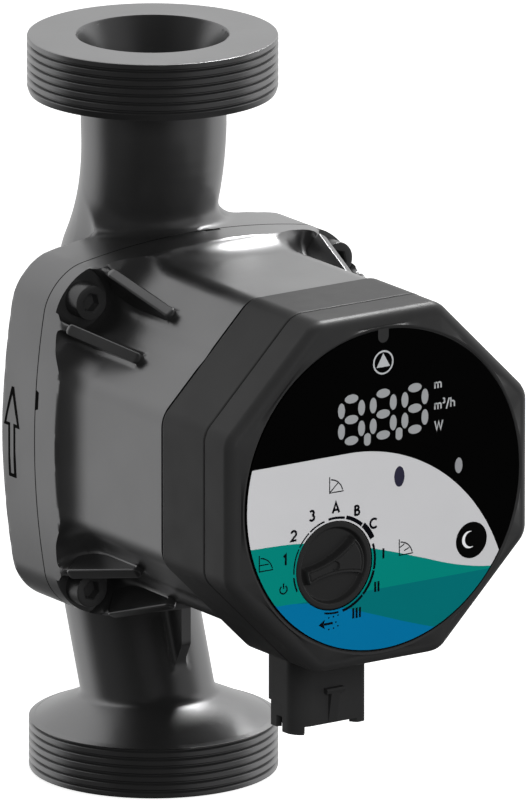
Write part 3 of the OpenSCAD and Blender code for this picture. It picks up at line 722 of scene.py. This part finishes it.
def build_parting_line():
    """A black band along the parting line, the gasket's edge between the castings; at the drain notches on
    the left and on top it reaches further forward as painted shade of their openings.
    """
    proud = 0.03
    count = 720
    loops = [[], [], [], []]
    for i in range(count):
        angle = TAU * i / count
        x, h = outline_point(angle, proud)
        inner = outline_point(angle, -1.0)
        # Painted shade: where the drain notches open, the black band reaches forward over the motor casting
        # to stand for their dark insides.
        notch_shade = (x < -40 and 8.5 < h < 13) or (h > 40 and 3 < x < 7.5)
        front = PARTING + (1.2 if notch_shade else 0.13)
        back = PARTING - 0.13
        loops[0].append((*inner, back))
        loops[1].append((x, h, back))
        loops[2].append((x, h, front))
        loops[3].append((*inner, front))
    line = make_piece("parting_gasket_notch_shade", closed_ring(loops), RUBBER_AND_SHADE, weigh=False)
    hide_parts("housing_gasket")


# ---- Printing: flat shapes as lists of (x, h) polygons ----

INK_T = 0.04


def thicken(piece, depth):
    """Joins a sheet's faces and gives it a thickness, in millimetres."""
    weld(piece)
    solid = piece.modifiers.new("thickness", "SOLIDIFY")
    solid.thickness = depth * MM
    solid.offset = 0


def print_sheet(name, polygons, material, level=1, body="housing", d=None):
    """A printed area or line of ink on the label; a higher level lies on a lower one."""
    front = (BOX_FRONT if d is None else d) + level * INK_T
    points, faces = [], []
    for polygon in polygons:
        start = len(points)
        points += [(x, h, front) for x, h in polygon]
        faces.append(tuple(range(start, len(points))))
    sheet = make_piece(name, (points, faces), material, body=body, smooth=0, weigh=False)
    thicken(sheet, INK_T)
    return sheet


def subdivided(points, step):
    out = [points[0]]
    for a, b in zip(points, points[1:]):
        count = max(1, int(math.hypot(b[0] - a[0], b[1] - a[1]) / step))
        for i in range(1, count + 1):
            out.append((a[0] + (b[0] - a[0]) * i / count, a[1] + (b[1] - a[1]) * i / count))
    return out


def ribbon(points, width):
    """Quads of a line of constant width, mitred at its bends."""
    sides = []
    for i, point in enumerate(points):
        before = points[max(i - 1, 0)]
        after = points[min(i + 1, len(points) - 1)]
        in_dir = Vector((point[0] - before[0], point[1] - before[1]))
        out_dir = Vector((after[0] - point[0], after[1] - point[1]))
        in_dir = in_dir.normalized() if in_dir.length > 0 else out_dir.normalized()
        out_dir = out_dir.normalized() if out_dir.length > 0 else in_dir
        across = Vector((-(in_dir.y + out_dir.y), in_dir.x + out_dir.x)).normalized()
        reach = width / 2 / max(0.45, across.dot(Vector((-out_dir.y, out_dir.x))))
        sides.append(((point[0] + across.x * reach, point[1] + across.y * reach),
                      (point[0] - across.x * reach, point[1] - across.y * reach)))
    return [(a[0], a[1], b[1], b[0]) for a, b in zip(sides, sides[1:])]


def oval(x, h, width, height, count=36):
    return [(x + width / 2 * math.cos(TAU * i / count), h + height / 2 * math.sin(TAU * i / count))
            for i in range(count)]


def smooth_curve(knots):
    """A smooth function of x through a few knots."""
    xs, hs = np.array(knots, dtype=float).T
    slopes = np.gradient(hs, xs)

    def value(x):
        i = int(np.clip(np.searchsorted(xs, x) - 1, 0, len(xs) - 2))
        span = xs[i + 1] - xs[i]
        t = min(max((x - xs[i]) / span, 0), 1)
        return ((2 * t ** 3 - 3 * t ** 2 + 1) * hs[i] + (t ** 3 - 2 * t ** 2 + t) * span * slopes[i]
                + (3 * t ** 2 - 2 * t ** 3) * hs[i + 1] + (t ** 3 - t ** 2) * span * slopes[i + 1])

    return value


def area(upper, lower, edge, holes):
    """Upright strips between two curves, inside the round label and outside its holes."""
    columns = {edge * math.cos(math.pi * i / 140) for i in range(141)}
    for x, _, r in holes:
        columns |= {x + r * math.cos(math.pi * i / 60) for i in range(61)}
    columns = sorted(c for c in columns if abs(c) <= edge)

    def spans(x):
        rim = math.sqrt(max(edge ** 2 - x ** 2, 0))
        return min(upper(x), rim), max(lower(x), -rim)

    strips = []
    for x0, x1 in zip(columns, columns[1:]):
        middle = (x0 + x1) / 2
        cuts = []
        for hx, hh, r in holes:
            if abs(middle - hx) < r:
                reach = [math.sqrt(max(r * r - (x - hx) ** 2, 0)) for x in (x0, x1)]
                cuts.append([(hh - up, hh + up) for up in reach])
        cuts.sort()
        tops, lows = zip(spans(x0), spans(x1))
        bottoms = [list(lows)] + [[cut[0][1], cut[1][1]] for cut in cuts]
        ceilings = [[cut[0][0], cut[1][0]] for cut in cuts] + [list(tops)]
        for bottom, ceiling in zip(bottoms, ceilings):
            bottom = [max(bottom[k], lows[k]) for k in (0, 1)]
            ceiling = [min(ceiling[k], tops[k]) for k in (0, 1)]
            if ceiling[0] - bottom[0] > 0.01 or ceiling[1] - bottom[1] > 0.01:
                ceiling = [max(ceiling[k], bottom[k]) for k in (0, 1)]
                strips.append([(x0, bottom[0]), (x1, bottom[1]), (x1, ceiling[1]), (x0, ceiling[0])])
    return strips


# ---- Signs of the dial and the units, as strokes on a unit-high grid ----

def glyph(kind):
    """Strokes of a sign, each a list of points."""
    if kind == "1":
        return [[(0.12, 0.80), (0.36, 1.0), (0.36, 0.0)]]
    if kind == "2":
        return [arc(0.33, 0.70, 0.28, 165, -38, 12) + [(0.06, 0.05), (0.64, 0.05)]]
    if kind == "3":
        return [arc(0.31, 0.75, 0.22, 150, -80, 10), arc(0.31, 0.28, 0.26, 85, -150, 12)]
    if kind == "A":
        return [[(0.0, 0.0), (0.37, 1.0), (0.74, 0.0)], [(0.14, 0.30), (0.60, 0.30)]]
    if kind == "B":
        return [[(0.08, 0.0), (0.08, 1.0)],
                [(0.08, 0.94)] + arc(0.28, 0.75, 0.19, 90, -90, 8) + [(0.08, 0.56)],
                [(0.08, 0.52)] + arc(0.32, 0.29, 0.23, 90, -90, 8) + [(0.08, 0.06)]]
    if kind == "C":
        return [arc(0.48, 0.50, 0.44, 48, 312, 18)]
    if kind in ("I", "II", "III"):
        return [[(0.38 * i, 0.0), (0.38 * i, 1.0)] for i in range(len(kind))]
    if kind == "m":
        return [[(0.0, 0.0), (0.0, 0.66)], arc(0.19, 0.42, 0.19, 180, 0, 8) + [(0.38, 0.0)],
                arc(0.57, 0.42, 0.19, 180, 0, 8) + [(0.76, 0.0)]]
    if kind == "cubed":
        return [[(0.45 * x, 0.55 + 0.5 * y) for x, y in stroke] for stroke in glyph("3")]
    if kind == "/":
        return [[(0.0, -0.12), (0.36, 1.0)]]
    if kind == "h":
        return [[(0.0, 0.0), (0.0, 1.0)], arc(0.22, 0.40, 0.22, 180, 0, 8) + [(0.44, 0.0)]]
    if kind == "W":
        return [[(0.0, 0.95), (0.24, 0.0), (0.48, 0.85), (0.72, 0.0), (0.96, 0.95)]]
    raise ValueError(kind)


def sign(kinds, x, h, size, weight, spacing=0.26, centred=True):
    """A row of glyphs as ribbons, size high."""
    strokes, cursor = [], 0.0
    for kind in kinds:
        shapes = glyph(kind)
        for stroke in shapes:
            strokes.append([(cursor + px, py) for px, py in stroke])
        cursor += max(px for stroke in shapes for px, _ in stroke) + spacing
    width = cursor - spacing
    left = x - width * size / 2 if centred else x
    low = h - size / 2 if centred else h
    quads = []
    for stroke in strokes:
        quads += ribbon([(left + px * size, low + py * size) for px, py in stroke], weight)
    return quads


def digits():
    """Three seven-segment digits made of ovals, with two decimal marks."""
    shapes = []
    for x in (-9, 0, 9):
        shapes += [oval(x, h, 3.8, 2.15) for h in (23.5, 18.5, 13.4)]
        shapes += [oval(x + side * 2.85, h, 1.95, 3.75) for side in (-1, 1) for h in (20.95, 15.95)]
    for x in (-4.5, 4.5):
        shapes.append([(px, py + (0.55 if py > 13 else -0.55)) for px, py in oval(x, 13.0, 1.9, 1.9)])
    return shapes


# Dial sections as (sign, its angle, arc from, arc to, arc thickness)
DIAL = (("1", 166, 182, 151, 0.35), ("2", 142, 149, 128.5, 0.38), ("3", 116, 126.5, 104, 0.42),
        ("A", 88, 98, 75, 0.6), ("B", 62.7, 73, 48, 0.95), ("C", 37.6, 46.5, 25, 1.35),
        ("I", 3.2, 18.5, -13, 0.62), ("II", -30, -14.5, -45, 0.66), ("III", -62.9, -46.5, -78, 0.66))
POWER_ARC = (186, 204)
VENT_ARC = (-84, -104)
ARC_IN = 11.25
SIGN_R = 14.0


def dial_point(angle, r):
    return arc(*KNOB_AT, r, angle, angle, 1)[0]


def dial_marks():
    quads = []
    for kind, angle, start, stop, thick in DIAL:
        quads += ribbon(arc(*KNOB_AT, ARC_IN + thick / 2, start, stop, 14), thick)
        quads += sign([kind], *dial_point(angle, SIGN_R + (0.6 if kind in "123" else 0)), 2.5, 0.56)
    for start, stop in (POWER_ARC, VENT_ARC):
        quads += ribbon(arc(*KNOB_AT, ARC_IN + 0.25, start, stop, 10), 0.45)
    x, h = dial_point(194, 14.8)
    quads += ribbon(arc(x, h, 1.0, 125, 415, 20), 0.36) + ribbon([(x, h + 0.2), (x, h + 1.5)], 0.36)
    return quads


def vent_sign():
    """An arrow to the left with bubbles round its tail."""
    x, h = dial_point(-97, 14.0)
    quads = ribbon([(x - 1.2, h), (x + 1.3, h)], 0.55)
    quads.append([(x - 2.7, h), (x - 0.9, h - 1.15), (x - 1.3, h), (x - 0.9, h + 1.15)])
    for dx, dh in ((0.2, 1.4), (1.5, 1.5), (2.8, 1.7), (2.2, 0.1), (0.2, -1.4), (1.5, -1.3), (2.8, -0.9)):
        quads.append(oval(x + dx, h + dh, 0.42, 0.42, 10))
    return quads


def curve_sign(x, h, inner):
    """A small graph: two axes, a falling curve and the control lines under it."""
    size = 3.9
    quads = ribbon([(x, h + size), (x, h), (x + size, h)], 0.26)
    quads += ribbon(arc(x, h - 0.6, size - 0.1, 84, 14, 10), 0.28)
    for start, stop in inner:
        quads += ribbon([(x + start[0], h + start[1]), (x + stop[0], h + stop[1])], 0.26)
    return quads


def pump_sign(x, h, r):
    """The plain drawing-office symbol for a pump: a triangle in a circle."""
    quads = ribbon(arc(x, h, r, 0, 360, 40), 0.42)
    return quads + [arc(x, h, 0.82 * r, 90, 330, 2)]


LABEL_HOLES = ((*KNOB_AT, KNOB_R + 0.12), (*KEY_AT, KEY_R + 0.12))


def build_flow_arrow():
    """The outline of the arrow engraved in the flange's left side, pointing with the flow, as a near-black
    strip: painted shade of its groove.
    """
    at_d, tip, shoulder, tail, half_head, half_shaft, line = 7.2, 11.8, 2.6, -9.8, 2.8, 1.1, 0.8
    half = [(0, tip), (half_head, shoulder), (half_shaft, shoulder), (half_shaft, tail), (0, tail)]
    outline = half + [(-d, h) for d, h in reversed(half[:-1])]
    sunk = 0.2
    points, faces = [], []
    for quad in ribbon(subdivided(outline, 1.0), line):
        start = len(points)
        for d, h in quad:
            side = math.sqrt(SIDE_R ** 2 - h ** 2) - SIDE_R + FLANGE_HALF
            points.append((sunk - min(side + 0.12, FLANGE_HALF + 0.03), h, at_d + d))
        faces.append(tuple(range(start, start + 4)))
    # Painted shade: the black strip stands for the shadowed groove of the engraved outline.
    arrow = make_piece("flow_arrow", (points, faces), RUBBER_AND_SHADE, smooth=0, weigh=False)
    thicken(arrow, 2 * sunk)
    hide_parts("pump_housing")


def build_label():
    def band_top(x):
        arc_r, middle = 45.8, -10
        if x <= middle:
            return 10.4
        return 10.4 - arc_r + math.sqrt(arc_r ** 2 - min(x - middle, arc_r) ** 2)

    sea_top = smooth_curve([(-39, -8.7), (-23.5, -9.4), (-13, -11.2), (-2.7, -13.8), (10.7, -18.0),
                            (19, -20.8), (27.3, -22.75), (34, -23.6)])
    deep_top = smooth_curve([(-39, -23.9), (-23, -24.0), (-12, -26.6), (-2.7, -29.8), (7.3, -33.3),
                             (14.8, -35.7), (24, -38.5)])
    teal_top = -23.8

    whole = area(lambda x: LABEL_R, lambda x: -LABEL_R, LABEL_R, LABEL_HOLES)
    film = print_sheet("label_film", whole, LABEL_BLACK, 0)
    film.modifiers["thickness"].thickness = 0.6 * MM
    film.modifiers["thickness"].offset = -1
    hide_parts("face_label", "display_window")

    edge = LABEL_R - 0.3
    print_sheet("label_band", area(band_top, sea_top, edge, LABEL_HOLES), INK_GREY)
    green = area(sea_top, lambda x: max(teal_top, deep_top(x)), edge, LABEL_HOLES)
    print_sheet("label_green", green, INK_GREEN)
    print_sheet("label_teal", area(lambda x: teal_top, deep_top, edge, LABEL_HOLES), INK_TEAL)
    print_sheet("label_blue", area(deep_top, lambda x: -LABEL_R, edge, LABEL_HOLES), INK_BLUE)

    print_sheet("display_digits", digits(), INK_DIGIT)
    units = []
    rows = ((["m"], 22.4, 0.26), (["m", "cubed", "/", "h"], 17.3, 0.2), (["W"], 12.3, 0.26))
    for kinds, h, spacing in rows:
        units += sign(kinds, 14.7, h, 2.3, 0.36, spacing, centred=False)
    print_sheet("unit_signs", units, INK_UNIT)
    print_sheet("pump_sign", pump_sign(0, 31, 2.7), INK_UNIT)
    print_sheet("dial_signs", dial_marks() + vent_sign(), INK_BLACK, 2)
    curves = curve_sign(-35.1, -14.4, [((0, 1.5), (2.6, 1.5))])
    curves += curve_sign(-15.2, 1.6, [((0.2, 0.2), (2.4, 2.2))])
    curves += curve_sign(4.6, -16.6, [((0.2, 1.9), (1.5, 2.6)), ((1.4, 0.9), (2.8, 1.5))])
    print_sheet("curve_signs", curves, INK_BLACK, 2)

    guides = (("right", oval(21.5, 2.7, 2.1, 3.8), LENS), ("left", oval(4.6, 2.6, 2.9, 5.0), LENS_DARK))
    for side, shape, look in guides:
        guide = print_sheet("light_guide_" + side, [shape], look, 2)
        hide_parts("light_guides")

    tab = [(-1.5, LABEL_R + 0.4), (-1.5, 37.3)] + arc(0, 37.3, 1.5, 180, 360, 12) + [(1.5, LABEL_R + 0.4)]
    tab_piece = print_sheet("label_tab", [tab], BOX_PLASTIC, 2)
    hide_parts("box_cover")


# ---- Knob and key ----

DISH_D = 95.0
GRIP_D = 97.3
KNOB_RIM_D = 96.55


def circle_side(start, end, sag):
    """A concave grip side: the centre and radius of the circle through its ends."""
    start, end = Vector(start), Vector(end)
    chord = end - start
    r = (chord.length ** 2 / 4 + sag ** 2) / (2 * sag)
    out = Vector((-chord.y, chord.x)).normalized()
    return (start + end) / 2 + out * (r - sag), r


def step_up(distance, width):
    """1 inside, 0 outside, with a soft shoulder."""
    t = np.clip(0.5 - distance / width, 0, 1)
    return t * t * (3 - 2 * t)


def knob_height(x, h):
    r = np.hypot(x, h)
    rim = step_up(9.0 - r, 0.7)
    upper, upper_r = circle_side((-8.0, 0.0), (5.3, 5.87), 1.25)
    lower, lower_r = circle_side((7.4, -3.0), (-7.5, -3.8), 1.35)
    over = upper_r - np.hypot(x - upper.x, h - upper.y)
    under = lower_r - np.hypot(x - lower.x, h - lower.y)
    grip = np.maximum(np.maximum(over, under), r - 8.2)
    height = DISH_D + (KNOB_RIM_D - DISH_D) * rim + (GRIP_D - DISH_D) * step_up(grip, 0.45)
    height -= 0.25 * step_up(np.abs(grip + 0.75) - 0.12, 0.3) * (r < 8.2)
    height -= 0.6 * step_up(r - 1.05, 0.3)
    return height - 0.25 * np.clip((r - 10.3) / 0.4, 0, 1) ** 2


def build_knob():
    count = 260
    loops = []
    for r in np.linspace(0.02, KNOB_R, 74):
        angles = np.arange(count) * TAU / count
        x, h = r * np.cos(angles), r * np.sin(angles)
        loops.append(list(zip(x + KNOB_AT[0], h + KNOB_AT[1], knob_height(x, h))))
    loops.append([(x, h, 93) for x, h, _ in loops[-1]])
    points, faces = loft(loops)
    shape = (points, [tuple(reversed(f)) for f in faces])
    knob = make_piece("selector_knob_cap", shape, KNOB_PLASTIC, "selector", 60, weigh=False)
    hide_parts("selector_knob")


def build_key():
    profile = [(KEY_R, KEY_LOW[2] + 3), (KEY_R, BOX_FRONT - 0.25), (KEY_R - 0.08, BOX_FRONT - 0.08),
               (KEY_R - 0.3, BOX_FRONT), (0.5, BOX_FRONT), (0, BOX_FRONT)]
    cap = lathe_front(KEY_AT, profile)
    key = make_piece("night_key_cap", cap, KEY_PLASTIC, "night_key", 30)
    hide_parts("night_button")
    x, h = KEY_AT[0] - 0.55, KEY_AT[1] + 0.2
    outer = arc(x, h, 2.1, 75, 300, 24)
    inner = arc(x + 0.55, h + 0.05, 1.85, 300 - 16, 75 + 14, 24)
    strips = [[outer[i], outer[i + 1], inner[-i - 2], inner[-i - 1]] for i in range(24)]
    print_sheet("night_key_moon", strips, INK_WHITE, 1, "night_key")


# ---- Power socket ----

SOCKET_FRONT = 75.2
SOCKET_LEG = -63.8      # lower ends: front legs, rear legs, front wall, notches
REAR_LEG = -63.3
FRONT_WALL = -61.8
NOTCH = -60.4
NOTCH_FROM, NOTCH_TO = 66.0, 69.2
LEG_X = 7.3             # where the legs' inner sides are
TUCK = 0.4              # the rear part's lower end steps in by this


def build_socket():
    """The plug-in shell under the box: open below, with feet at its corners and a catch in front."""
    half, back, front = SOCKET_HIGH[0], SOCKET_LOW[2], SOCKET_FRONT
    top, wall = -BOX_HALF + 1, 1.6
    step_h = -57
    path = []

    def add(points, low, tucked=0.0):
        path.extend((x, d, low, tucked) for x, d in points)

    front_r, back_r = 4.4, 1.2
    left_front = arc(-half + front_r, front - front_r, front_r, 180, 90, 14)
    slit = 0.04
    add([(-half, back + back_r), (-half, NOTCH_FROM)], REAR_LEG, TUCK)
    add([(-half, NOTCH_FROM + slit), (-half, NOTCH_TO - slit)], NOTCH, TUCK)
    left_leg = [point for point in left_front if point[0] < -LEG_X + 0.1]
    add([(-half, NOTCH_TO)] + left_leg, SOCKET_LEG)
    left_rest = [(left_leg[-1][0] + slit, left_leg[-1][1])] + left_front[len(left_leg):]
    add(left_rest + [(LEG_X - slit, front)], FRONT_WALL)
    right_front = arc(half - back_r, front - back_r, back_r, 90, 0, 6)
    add([(LEG_X, front)] + right_front + [(half, NOTCH_TO)], SOCKET_LEG + 0.9)
    add([(half, NOTCH_TO - slit), (half, NOTCH_FROM + slit)], NOTCH, TUCK)
    right_back = arc(half - back_r, back + back_r, back_r, 0, -90, 6)
    add([(half, NOTCH_FROM), (half, back + back_r)] + right_back, REAR_LEG, TUCK)
    add([(LEG_X, back), (-LEG_X + slit, back)], NOTCH)
    add([(-LEG_X, back)] + arc(-half + back_r, back + back_r, back_r, 270, 180, 6), REAR_LEG, TUCK)

    def ring(height, inset, follow=False):
        loop = []
        for x, d, low, tucked in path:
            middle_d = (back + front) / 2
            pull = inset + (tucked if follow else 0)
            scale_x = (half - pull) / half
            scale_d = ((front - back) / 2 - pull) / ((front - back) / 2)
            loop.append((x * scale_x, low if height is None else height, middle_d + (d - middle_d) * scale_d))
        return loop

    loops = [ring(top, 0), ring(step_h, 0), ring(step_h, 0, True), ring(None, 0, True), ring(None, wall),
             ring(-46.5, wall)]
    socket = make_piece("power_socket_shell", loft(loops, start=False), SOCKET_PLASTIC, smooth=30)
    weld(socket)
    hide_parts("power_socket")

    bar_top, bar_low, out, stem_low = -53.0, -54.2, 1.8, -61.7
    bar = [(bar_top, 0), (bar_top, out), (bar_top - 0.5, out + 0.2), (bar_low, out), (bar_low, 0)]
    stem = [(bar_low, 0), (bar_low, out), (stem_low, 0.45), (stem_low, 0)]
    for name, profile, sides in (("catch_bar", bar, (-2.2, 2.8)), ("catch_stem", stem, (-0.9, 1.5))):
        loops = [[(x, h, front - 0.4 + d) for h, d in profile] for x in sides]
        catch = make_piece(name, loft(loops), SOCKET_PLASTIC, smooth=30)
        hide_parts("power_socket")


# ---- Camera, light and floor ----

PHOTO_AZIMUTH = math.radians(-34.213)
PHOTO_ELEVATION = math.radians(15.2475)
# From the crossing of the motor and port axes to the centre of the view
AIM_RIGHT, AIM_UP = 26.1340, 0.1070
CAMERA_DISTANCE = 5284.400
LENS_LENGTH = 1000
SENSOR = 36


def build_camera():
    data = bpy.data.cameras.new("photo_camera")
    camera = linked("photo_camera", data)
    bpy.context.scene.camera = camera
    data.lens = LENS_LENGTH
    data.sensor_width = SENSOR
    back = Vector((math.sin(PHOTO_AZIMUTH) * math.cos(PHOTO_ELEVATION),
                   -math.cos(PHOTO_AZIMUTH) * math.cos(PHOTO_ELEVATION), math.sin(PHOTO_ELEVATION)))
    turn = (-back).to_track_quat("-Z", "Y")
    right, up = turn @ Vector((1, 0, 0)), turn @ Vector((0, 1, 0))
    aim = place(0, 0, 0) + (right * AIM_RIGHT + up * AIM_UP) * MM
    camera.location = aim + back * CAMERA_DISTANCE * MM
    camera.rotation_mode = "QUATERNION"
    camera.rotation_quaternion = turn
    data.clip_start = 0.1
    data.clip_end = 30


def area_light(name, at, target, size, power):
    data = bpy.data.lights.new(name, "AREA")
    data.shape = "RECTANGLE"
    data.size, data.size_y = size
    data.energy = power
    lamp = linked(name, data)
    lamp.location = at
    lamp.rotation_euler = (Vector(target) - Vector(at)).to_track_quat("-Z", "Y").to_euler()
    lamp.visible_camera = False
    return lamp


# Studio light by direction: bright behind the object as seen from the camera, dark in front
AWAY = (-math.sin(PHOTO_AZIMUTH), math.cos(PHOTO_AZIMUTH), 0)
SIDEWAYS = (math.cos(PHOTO_AZIMUTH), math.sin(PHOTO_AZIMUTH), 0)
# Each as (direction, from, to, level before, level after)
BACK_LIGHT = (AWAY, -0.22, 0.42, 0.02, 0.86)
RIGHT_LIGHT = (SIDEWAYS, 0.15, 0.95, 0.0, 0.20)
LEFT_LIGHT = (SIDEWAYS, -0.15, -0.95, 0.0, 0.07)
LOW_SHADE = ((0, 0, 1), -0.62, -0.30, 0.12, 1.0)


def build_world():
    world = bpy.data.worlds.new("studio")
    bpy.context.scene.world = world
    world.use_nodes = True
    nodes, links = world.node_tree.nodes, world.node_tree.links
    background = nodes["Background"]
    background.inputs["Color"].default_value = (1, 1, 1, 1)
    coords = nodes.new("ShaderNodeTexCoord")

    def by_direction(direction, *levels):
        dot = nodes.new("ShaderNodeVectorMath")
        dot.operation = "DOT_PRODUCT"
        dot.inputs[1].default_value = direction
        links.new(coords.outputs["Generated"], dot.inputs[0])
        ramp = nodes.new("ShaderNodeMapRange")
        ramp.interpolation_type = "SMOOTHSTEP"
        for socket, value in zip(("From Min", "From Max", "To Min", "To Max"), levels):
            ramp.inputs[socket].default_value = value
        links.new(dot.outputs["Value"], ramp.inputs["Value"])
        return ramp.outputs["Result"]

    def joined(operation, first, second):
        node = nodes.new("ShaderNodeMath")
        node.operation = operation
        links.new(first, node.inputs[0])
        links.new(second, node.inputs[1])
        return node.outputs[0]

    sides = joined("ADD", by_direction(*RIGHT_LIGHT), by_direction(*LEFT_LIGHT))
    light = joined("MULTIPLY", joined("MAXIMUM", by_direction(*BACK_LIGHT), sides), by_direction(*LOW_SHADE))
    path = nodes.new("ShaderNodeLightPath")
    strength = nodes.new("ShaderNodeMix")
    links.new(path.outputs["Is Camera Ray"], strength.inputs[0])
    links.new(light, strength.inputs[2])
    strength.inputs[3].default_value = 1.0
    links.new(strength.outputs[0], background.inputs["Strength"])


def build_floor():
    side = 3.0
    low = -MM
    mesh = bpy.data.meshes.new("floor")
    corners = [(-side, -side, low), (side, -side, low), (side, side, low), (-side, side, low)]
    mesh.from_pydata(corners, [], [(0, 1, 2, 3)])
    floor = linked("floor", mesh)
    material, tree, shader = new_material("floor_white")
    shader.inputs["Base Color"].default_value = (0.9, 0.9, 0.9, 1)
    shader.inputs["Roughness"].default_value = 0.9
    shader.inputs["Emission Color"].default_value = (1, 1, 1, 1)
    shader.inputs["Emission Strength"].default_value = 0.85
    mesh.materials.append(material)
    floor.visible_glossy = False
    floor.visible_diffuse = False


def build_studio():
    build_world()
    build_floor()
    middle = (0, -0.03, AXIS * MM)
    fill = area_light("front_fill", (-0.5, -1.5, 0.55), middle, (0.9, 0.9), 26)
    fill.visible_glossy = False
    softbox = area_light("top_softbox", (0.68, 0.40, 1.05), middle, (0.3, 0.3), 11.0)
    softbox.visible_diffuse = False
    bpy.context.scene.view_settings.view_transform = "Standard"


dress_cad_nodes()
build_camera()
build_studio()
build_castings()
build_rib_bars()
build_port_rings()
build_control_box()
build_bolts()
build_parting_line()
build_flow_arrow()
build_label()
build_knob()
build_key()
build_socket()
